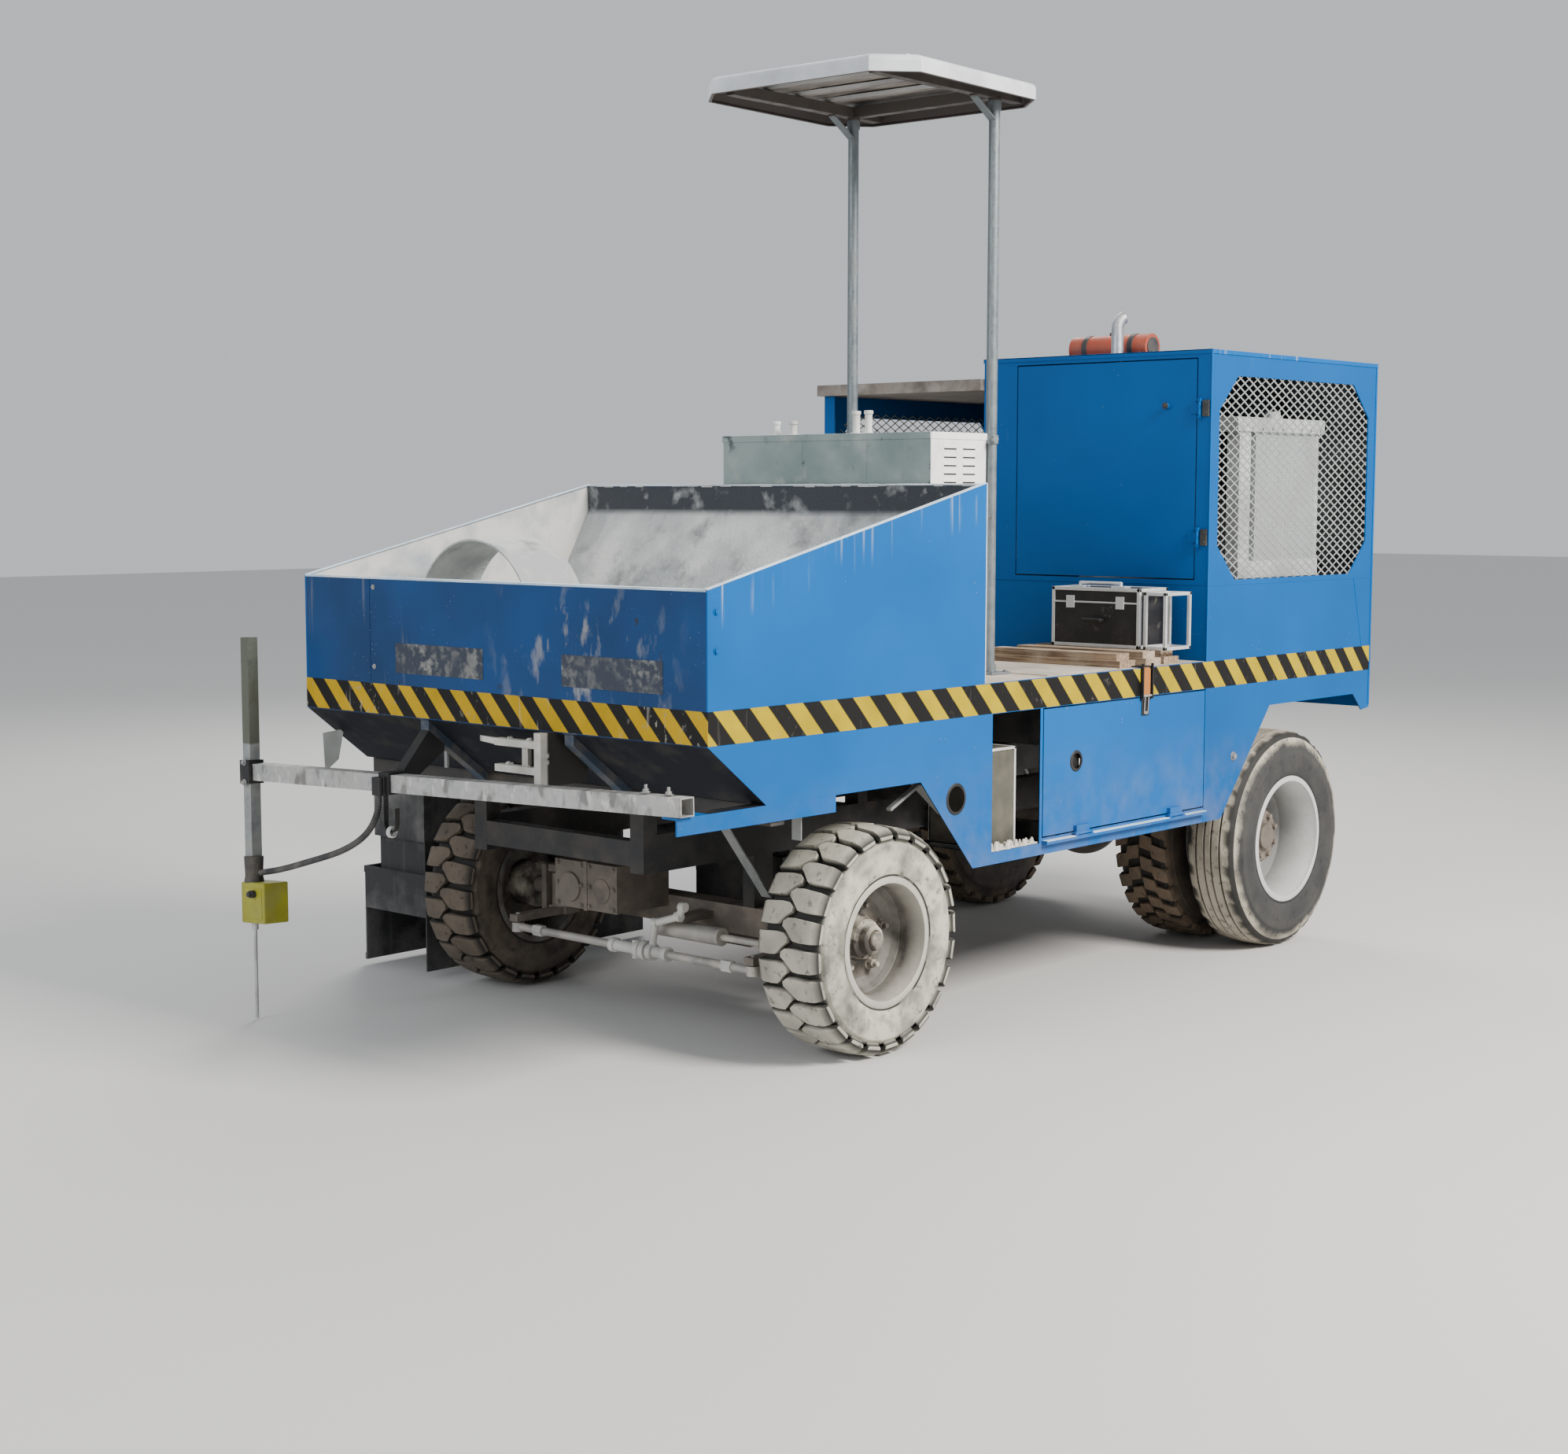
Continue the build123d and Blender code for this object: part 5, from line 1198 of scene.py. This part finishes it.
# %% [markdown]
# The console is a folded cabinet: a lid with a turned-down lip, two seams down its front and two columns of
# pressed louvres on its left end. A louvre is a small hood, open below, so each is a wedge standing out of
# the sheet, with a dark strip under it. The levers stand on the lid.

# %% Console cabinet
left, front, right, rear, top = (*console_low[:2], *console_high)
lip_low = top - 0.023
louvres = [(y, 1.815 + 0.028 * row) for row in range(5) for y in (0.597, 0.701)]
bm = bmesh.new()
block(bm, (left + 0.003, front + 0.003, deck_top), (right - 0.003, rear - 0.003, lip_low + 0.001))
block(bm, (left, front, lip_low), (right, rear, top))
block(bm, (left + 0.0005, front + 0.0005, deck_top), (right - 0.0005, rear - 0.0005, deck_top + 0.028))
for x in (0.13, 0.42):
    block(bm, (x - 0.001, 0.4915, 1.19), (x + 0.001, 0.494, 1.955))
for y, z in louvres:
    wedge = [(0.6965, y - 0.036, z), (0.6995, y - 0.036, z), (0.6965, y - 0.036, z + 0.016)]
    prism(bm, wedge, (0, 0, 0), (0, 0.072, 0))
piece("console_body", bm, "chassis", console_skin, 0.0012, replaces=("console_cabinet",))
bm = bmesh.new()
for y, z in louvres:
    block(bm, (0.6968, y - 0.034, z - 0.005), (0.6974, y + 0.034, z + 0.0005))
piece("louvre_shadows", bm, "chassis", black_rubber, 0.0)
bm = bmesh.new()
for x, y, height in ((0.318, 0.56, 0.078), (0.352, 0.585, 0.080), (-0.05, 0.56, 0.05), (0.03, 0.56, 0.05)):
    bar(bm, (x, y, top), (x, y, top + 0.004), 0.022, 18)
    bar(bm, (x, y, top + 0.003), (x, y, top + height - 0.012), 0.013, 16)
    bar(bm, (x, y, top + height - 0.013), (x, y, top + height), 0.016, 16)
piece("console_levers", bm, "chassis", pale_paint, 0.002, smooth=True)

# %% [markdown]
# The radiator stands behind the mesh, so its outline reads through it: two tanks, side rails and the finned
# core.

# %% Radiator
bm = bmesh.new()
block(bm, (0.765, 2.372, 1.50), (0.827, 2.844, 2.02))
piece("radiator_core", bm, "chassis", fins, 0.001, replaces=("radiator",))
bm = bmesh.new()
block(bm, (0.755, 2.211, 2.016), (0.842, 2.887, 2.072))
block(bm, (0.760, 2.240, 1.450), (0.836, 2.862, 1.517))
block(bm, (0.775, 2.242, 1.510), (0.832, 2.326, 2.020))
block(bm, (0.765, 2.840, 1.510), (0.831, 2.860, 2.020))
for y in (2.26, 2.80):
    block(bm, (0.780, y, deck_top), (0.820, y + 0.04, 1.455))
bar(bm, (0.795, 2.55, 2.07), (0.795, 2.55, 2.10), 0.03, 24)
for i in range(9):
    hexagon(bm, (0.842, 2.245 + 0.076 * i, 2.032), (1, 0, 0), 0.008, 0.007, False)
for z in (1.60, 1.72, 1.84, 1.96):
    hexagon(bm, (0.832, 2.295, z), (1, 0, 0), 0.006, 0.005, False)
piece("radiator_tanks", bm, "chassis", radiator_paint, 0.003, smooth=True)

# %% [markdown]
# The tool case on the deck is a black laminate box with aluminium edges, and beside it stands an open
# frame.

# %% Tool case
bm = bmesh.new()
block(bm, (0.418, 1.603, 1.2105), (0.802, 1.787, 1.427))
piece("case_box", bm, "chassis", laminate, 0.002, replaces=("tool_case",))
bm = bmesh.new()
case_low, case_high = (0.415, 1.600, 1.2075), (0.805, 1.790, 1.430)
open_box(bm, case_low, case_high, 0.013)
block(bm, (0.415, 1.5995, 1.372), (0.805, 1.602, 1.378))
for x in (0.50, 0.72):
    block(bm, (x - 0.018, 1.596, 1.352), (x + 0.018, 1.601, 1.398))
open_box(bm, (0.822, 1.600, 1.2075), (0.918, 1.774, 1.418), 0.012)
for x in (0.52, 0.70):
    block(bm, (x - 0.03, 1.615, 1.4295), (x + 0.03, 1.655, 1.436))
bar(bm, (0.52, 1.635, 1.446), (0.70, 1.635, 1.446), 0.006, 12)
for x in (0.52, 0.70):
    bar(bm, (x, 1.635, 1.434), (x, 1.635, 1.450), 0.006, 12)
piece("case_edges", bm, "chassis", aluminium, 0.0012)
bm = bmesh.new()
for x in (0.575, 0.645):
    bar(bm, (x, 1.601, 1.31), (x, 1.578, 1.31), 0.005, 12)
bar(bm, (0.570, 1.576, 1.31), (0.650, 1.576, 1.31), 0.0075, 14)
piece("case_handle", bm, "chassis", black_rubber, 0.0008, smooth=True)

# %% [markdown]
# In the open slot in front of the side door stands a tank in a pale frame. Cement dust has drifted over the
# slot's sill, so a strip of small lumps lies there, taller towards the front.

# %% Locker tank and its sill
tank_low, tank_high = (0.645, 0.560, 0.593), (0.900, 0.710, 0.931)
bm = bmesh.new()
block(bm, tank_low, (tank_high[0] - 0.004, tank_high[1] - 0.004, tank_high[2] - 0.004))
block(bm, (0.70, 0.59, 0.925), (0.76, 0.65, 0.985))
bar(bm, (0.84, 0.60, 0.925), (0.84, 0.60, 0.975), 0.024, 24)
piece("locker_tank_body", bm, "chassis", olive_tank, 0.003, replaces=("locker_tank",))
bm = bmesh.new()
open_box(bm, tank_low, tank_high, 0.009)
piece("locker_tank_frame", bm, "chassis", pale_paint, 0.001)
bm = bmesh.new()
for i in range(60):
    y, x = 0.530 + 0.262 * (i + 0.5) / 60, chance.uniform(0.905, 0.927)
    r, tall = chance.uniform(0.004, 0.012), chance.uniform(0.004, 0.016)
    lump_top = 0.5945 + tall * (1.9 - 2.2 * (y - 0.53))
    bar(bm, (x, y, 0.5935), (x + 0.002, y, lump_top), r, 7, r * 0.45, phase=chance.random())
block(bm, (0.900, 0.527, 0.5930), (0.9325, 0.794, 0.5985))
piece("slot_sill_cement", bm, "chassis", pale_crust, 0.001)

# %% [markdown]
# On the engine housing's roof stand the exhaust, a zinc pipe with a short bend at its top, and a red tank
# held by two bands. The bend is part of a ring, made of circles that turn about a point beside the pipe.

# %% Exhaust and roof tank bands
pipe_at, lean = Vector((0.228, 2.300, 0.0)), Vector((0.55, 0.835, 0.0)).normalized()
bm = bmesh.new()
bar(bm, pipe_at + Vector((0, 0, 1.52)), pipe_at + Vector((0, 0, 2.4405)), 0.025, 28)
bend_mid = pipe_at + lean * 0.045 + Vector((0, 0, 2.44))
arc_tube(bm, bend_mid, -lean, (0, 0, 1), 0.045, 0.0248, 0.0, radians(68), 10, 28)
piece("exhaust_bend", bm, "chassis", galvanised, 0.001, smooth=True, replaces=("exhaust_pipe",))
tank_line = (2.430, 2.367)
bm = bmesh.new()
for x in (0.015, 0.235):
    band = [(x - 0.012, 0.0551), (x - 0.012, 0.0575), (x + 0.012, 0.0575), (x + 0.012, 0.0551)]
    turned(bm, band, tank_line, 40)
for x in (-0.060, 0.310):
    bar(bm, (x - 0.004, *tank_line), (x + 0.004, *tank_line), 0.040, 32)
bar(bm, (0.125, 2.430, 2.42), (0.125, 2.430, 2.432), 0.018, 20)
bar(bm, (0.228, 2.300, 2.303), (0.228, 2.300, 2.310), 0.045, 32)
piece("roof_tank_bands", bm, "chassis", dark_steel, 0.001, smooth=True)

# %% [markdown]
# Under the front hang the tow clevis, caked with cement, and the struts. The clevis is a solid node
# already, so only its tab, the bar between its prongs and its lumps are added here, with the struts and a
# guard plate at the right-hand corner.

# %% Clevis lumps and struts
bm = bmesh.new()
tab = [(-0.012, -0.866, 1.008), (0.095, -0.892, 1.006), (0.095, -0.842, 1.006), (0.02, -0.848, 1.008)]
prism(bm, tab, (0, 0, 0), (0, 0, 0.018))
block(bm, (0.203, -0.884, 0.935), (0.230, -0.852, 1.022))
for i in range(16):
    x, y = chance.uniform(0.125, 0.262), chance.uniform(-0.885, -0.848)
    if 0.15 < x < 0.21:
        continue
    for z in (1.0265, 0.9465):
        r = chance.uniform(0.006, 0.013)
        bar(bm, (x, y, z), (x + 0.002, y, z + r * 0.6), r, 8, r * 0.4)
for z in (0.965, 0.985):
    hexagon(bm, (0.300, -0.865, z), (1, 0, 0), 0.007, 0.006)
piece("clevis_cement", bm, "chassis", clevis_paint, 0.0012)
bm = bmesh.new()
flat_bar(bm, (0.55, -0.405, 0.800), (0.55, -0.155, 0.489), 0.040, 0.006, (1, 0, 0))
flat_bar(bm, (0.894, -0.400, 0.960), (0.894, -0.400, 0.735), 0.038, 0.004, (1, 0, 0))
flat_bar(bm, (0.86, 0.081, 0.775), (0.86, 0.222, 0.838), 0.020, 0.010, (1, 0, 0))
flat_bar(bm, (0.86, 0.225, 0.842), (0.86, 0.370, 0.730), 0.050, 0.006, (1, 0, 0))
block(bm, (-0.392, -0.694, 0.878), (-0.378, -0.684, 0.948))
piece("front_struts", bm, "chassis", pole_zinc, 0.001)
bm = bmesh.new()
guard = [(-0.900, -0.792, 0.832), (-0.900, -0.800, 0.965), (-0.900, -0.712, 0.972), (-0.900, -0.735, 0.870)]
prism(bm, guard, (0, 0, 0), (-0.003, 0, 0))
piece("corner_guard", bm, "chassis", radiator_paint, 0.0)

# %% [markdown]
# The front axle carries a geared housing with a bolted seam, and behind it hangs a brown box. Both sit low
# between the wheels, where the photograph shows brown and grey shapes in the shade. The tie rod in front of
# them has a joint of collars, a thick sleeve and an elbow.

# %% Axle housing and box
bm = bmesh.new()
block(bm, (-0.158, -0.2935, 0.376), (-0.142, -0.0435, 0.5435))
for z in (0.392, 0.460, 0.528):
    for x in (-0.285, -0.170, -0.130, -0.015):
        hexagon(bm, (x, -0.290, z), (0, -1, 0), 0.007, 0.007)
bar(bm, (-0.075, -0.293, 0.450), (-0.075, -0.286, 0.450), 0.042, 32)
bar(bm, (-0.225, -0.298, 0.450), (-0.225, -0.286, 0.450), 0.050, 32)
piece("gear_housing_seam", bm, "chassis", casting, 0.0015, smooth=True)
bm = bmesh.new()
block(bm, (0.00, 0.100, 0.245), (0.245, 0.300, 0.505))
block(bm, (-0.006, 0.094, 0.485), (0.251, 0.306, 0.508))
for x in (0.03, 0.20):
    block(bm, (x, 0.19, 0.507), (x + 0.03, 0.21, 0.600))
for z in (0.29, 0.44):
    for x in (0.03, 0.215):
        hexagon(bm, (x, 0.100, z), (0, -1, 0), 0.007, 0.005)
piece("axle_box", bm, "chassis", brown_box, 0.004)
bm = bmesh.new()
rod_y, rod_z = -0.230, 0.261
for x in (-0.45, 0.45):
    bar(bm, (x - 0.022, rod_y, rod_z), (x + 0.022, rod_y, rod_z), 0.021, 6)
bar(bm, (-0.085, rod_y, rod_z), (0.180, rod_y, rod_z), 0.0195, 18)
for x, r in ((-0.075, 0.025), (0.045, 0.029), (0.075, 0.033), (0.105, 0.029), (0.172, 0.025)):
    bar(bm, (x - 0.011, rod_y, rod_z), (x + 0.011, rod_y, rod_z), r, 20)
elbow = [Vector((x, rod_y, z)) for x, z in ((0.105, 0.275), (0.120, 0.360), (0.228, 0.394), (0.248, 0.428))]
collar_half = Vector((0.012, 0, 0))
for start, end in zip(elbow, elbow[1:]):
    bar(bm, start, end, 0.0125, 16)
    bar(bm, end - collar_half, end + collar_half, 0.0165, 16)
bar(bm, (0.030, rod_y, 0.230), (0.030, rod_y, 0.292), 0.014, 16)
piece("tie_rod_joint", bm, "tie_bar", joint_metal, 0.001, smooth=True)

# %% [markdown]
# The sensor is a flat yellow box on the pole's foot, with a dark collar above it and a thin silver feeler
# rod below it. All three follow the pole's lean, so they are placed along its axis. The bolts of the pole's
# clamp and of the boom's left bracket come last.

# %% Sensor on its pole
pole_foot, pole_head = Vector((-0.989, -1.028, 0.005)), Vector((-1.082, -0.963, 1.290))
pole_way = (pole_head - pole_foot).normalized()
pole_side = Vector((pole_way.z, 0, -pole_way.x)).normalized()
pole_back = pole_way.cross(pole_side)


def on_pole(along, side, back):
    """A point given along the pole and beside it."""
    return pole_foot + pole_way * along + pole_side * side + pole_back * back


bm = bmesh.new()
box_corners = ((-0.032, -0.032), (0.098, -0.032), (0.098, 0.068), (-0.032, 0.068))
prism(bm, [on_pole(0.325, s, b) for s, b in box_corners], (0, 0, 0), pole_way * 0.138)
piece("sensor_box", bm, "chassis", sensor_paint, 0.005, segments=3, replaces=("sensor_unit",))
bm = bmesh.new()
lid_corners = ((-0.020, -0.0335), (0.086, -0.0335), (0.086, -0.0318), (-0.020, -0.0318))
prism(bm, [on_pole(0.340, s, b) for s, b in lid_corners], (0, 0, 0), pole_way * 0.104)
piece("sensor_lid", bm, "chassis", sensor_paint, 0.0005)
bm = bmesh.new()
bar(bm, on_pole(0.462, 0, 0), on_pole(0.485, 0, 0), 0.034, 28, 0.030)
bar(bm, on_pole(0.484, 0, 0), on_pole(0.5495, 0, 0), 0.030, 28, 0.033)
bar(bm, on_pole(0.425, 0.045, -0.0315), on_pole(0.425, 0.045, -0.052), 0.013, 24)
bar(bm, on_pole(0.425, 0.045, -0.051), on_pole(0.425, 0.045, -0.060), 0.009, 24)
bar(bm, (-0.990, -1.003, 0.500), (-1.0148, -1.0027, 0.4954), 0.0139, 20)
piece("sensor_collar", bm, "chassis", dark_steel, 0.001, smooth=True)
bm = bmesh.new()
bar(bm, on_pole(0.0, 0, 0), on_pole(0.330, 0, 0), 0.006, 18)
bar(bm, on_pole(0.300, 0, 0), on_pole(0.326, 0, 0), 0.011, 18)
piece("sensor_rod", bm, "chassis", galvanised, 0.0008, smooth=True)
bm = bmesh.new()
for along in (0.800, 0.868):
    hexagon(bm, on_pole(along, 0.0, -0.030), -pole_back, 0.008, 0.010)
bar(bm, on_pole(0.834, 0.026, 0), on_pole(0.834, 0.052, 0), 0.006, 14)
bar(bm, on_pole(0.834, 0.050, 0), on_pole(0.834, 0.070, 0), 0.014, 18)
for x in (0.784, 0.876):
    hexagon(bm, (x, -0.930, 0.9225), (0, 0, 1), 0.010, 0.010)
    bar(bm, (x, -0.930, 0.930), (x, -0.930, 0.945), 0.005, 12)
piece("boom_bolts", bm, "chassis", bolt_zinc, 0.0008)

# %% [markdown]
# A webbing strap holds the hose to the boom. Its loose end hangs in a loop with a pale ring on it.

# %% Strap tail
bm = bmesh.new()
block(bm, (-0.322, -1.0035, 0.735), (-0.318, -0.9855, 0.882))
arc_tube(bm, (-0.292, -0.9945, 0.735), (-1, 0, 0), (0, 0, -1), 0.028, 0.009, 0.0, pi, 16, 12, 0.22)
block(bm, (-0.266, -1.0035, 0.735), (-0.262, -0.9855, 0.785))
piece("strap_tail", bm, "chassis", black_rubber, 0.0006, smooth=True)
bm = bmesh.new()
turned(bm, [(-0.300, 0.014), (-0.297, 0.019), (-0.287, 0.019), (-0.284, 0.014)], (-0.9945, 0.7070), 24)
piece("strap_ring", bm, "chassis", pale_paint, 0.0, smooth=True)

# %% [markdown]
# The sensor's hose is one curve. Its control points are the route of the CAD hose, and a NURBS curve draws
# a smooth line past them by itself. The corrugation is a row of thin rings along that same line.

# %% Sensor hose
hose_route = [
    (-0.345, -1.002, 0.820), (-0.345, -1.002, 0.794), (-0.360, -1.003, 0.748), (-0.390, -1.004, 0.706),
    (-0.436, -1.003, 0.671), (-0.496, -1.004, 0.639), (-0.571, -1.003, 0.610), (-0.657, -1.004, 0.584),
    (-0.745, -1.003, 0.559), (-0.832, -1.004, 0.534), (-0.914, -1.003, 0.514), (-0.990, -1.003, 0.500)]
hose_line = bpy.data.curves.new("sensor_hose_conduit", "CURVE")
hose_line.dimensions = "3D"
hose_spline = hose_line.splines.new("NURBS")
hose_spline.points.add(len(hose_route) - 1)
for point, place in zip(hose_spline.points, hose_route):
    point.co = (*place, 1.0)
hose_spline.order_u, hose_spline.use_endpoint_u = 3, True
hose_line.resolution_u = 12
hose = bpy.data.objects.new("sensor_hose_conduit", hose_line)
bpy.context.scene.collection.objects.link(hose)
bpy.context.view_layer.update()
bare_line = bpy.data.meshes.new_from_object(hose)
line_points = [v.co.copy() for v in bare_line.vertices]
bpy.data.meshes.remove(bare_line)
hose_line.bevel_depth, hose_line.bevel_resolution, hose_line.use_fill_caps = 0.0096, 3, True
hose_line.materials.append(conduit)
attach(hose, "chassis")
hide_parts("sensor_hose")
hose_length = sum((b - a).length for a, b in zip(line_points, line_points[1:]))
print("hose length:", round(hose_length, 3))

bm = bmesh.new()
gone, ring_step = 0.0, 0.0095
for a, b in zip(line_points, line_points[1:]):
    way = b - a
    spot = (-gone) % ring_step
    while spot < way.length:
        middle_at, tip = a + way.normalized() * spot, way.normalized() * 0.002
        if 0.012 < gone + spot < hose_length - 0.012:
            bar(bm, middle_at - tip, middle_at + tip, 0.0106, 14)
        spot += ring_step
    gone += way.length
rings = piece("hose_rings", bm, "chassis", conduit, 0.0, smooth=True)

# %% [markdown]
# The kerb mould is a welded box, so it has flat stiffeners on its outer wall between two long rails.

# %% Mould stiffeners
bm = bmesh.new()
for y in (-0.16, 0.09, 0.34, 0.59, 0.84):
    block(bm, (-1.449, y - 0.004, 0.040), (-1.4395, y + 0.004, 0.370))
block(bm, (-1.446, -0.215, 0.354), (-1.4395, 0.900, 0.380))
block(bm, (-1.446, -0.215, 0.022), (-1.4395, 0.900, 0.046))
piece("mould_stiffeners", bm, "mould", mould_crust, 0.001)

# %% [markdown]
# Studio: a large pale floor, a bright even surround, and soft lights. The key light comes from the
# machine's left, as the sun does in the photograph, so its side is bright and its front falls into gentle
# shade.

# %% Floor, surround and lights
bm = bmesh.new()
block(bm, (-40, -40, -0.02), (40, 60, 0.0))
floor_mesh = bpy.data.meshes.new("studio_floor")
bm.to_mesh(floor_mesh)
bm.free()
floor_finish = Finish("studio_floor_paint")
floor_mesh.materials.append(floor_finish.done((0.62, 0.61, 0.59), 0.9))
floor = bpy.data.objects.new("studio_floor", floor_mesh)
bpy.context.scene.collection.objects.link(floor)

world = bpy.data.worlds.new("studio_surround")
world.use_nodes = True
surround = world.node_tree.nodes["Background"]
surround.inputs["Color"].default_value = (0.88, 0.92, 0.97, 1.0)
surround.inputs["Strength"].default_value = 0.7
bpy.context.scene.world = world


def soft_light(name, at, target, size, watts, tint):
    """A square area light aimed at a point."""
    data = bpy.data.lights.new(name, "AREA")
    data.size, data.energy, data.color = size, watts, tint
    lamp = bpy.data.objects.new(name, data)
    lamp.location = at
    lamp.rotation_mode = "QUATERNION"
    lamp.rotation_quaternion = (Vector(target) - Vector(at)).to_track_quat("-Z", "Y")
    bpy.context.scene.collection.objects.link(lamp)


soft_light("key_light", (7.5, 1.5, 6.5), (0, 1, 1), 3.0, 1550, (1.0, 0.96, 0.9))
soft_light("front_fill", (-1.5, -8.5, 4.5), (0, 0, 1), 5.0, 330, (0.92, 0.96, 1.0))
soft_light("back_light", (-6.0, 6.5, 6.5), (0, 1.5, 1.2), 4.0, 500, (1.0, 0.98, 0.95))

# %% Sizes and finish
print("pieces added:", len(faces_made), "faces:", sum(faces_made.values()))
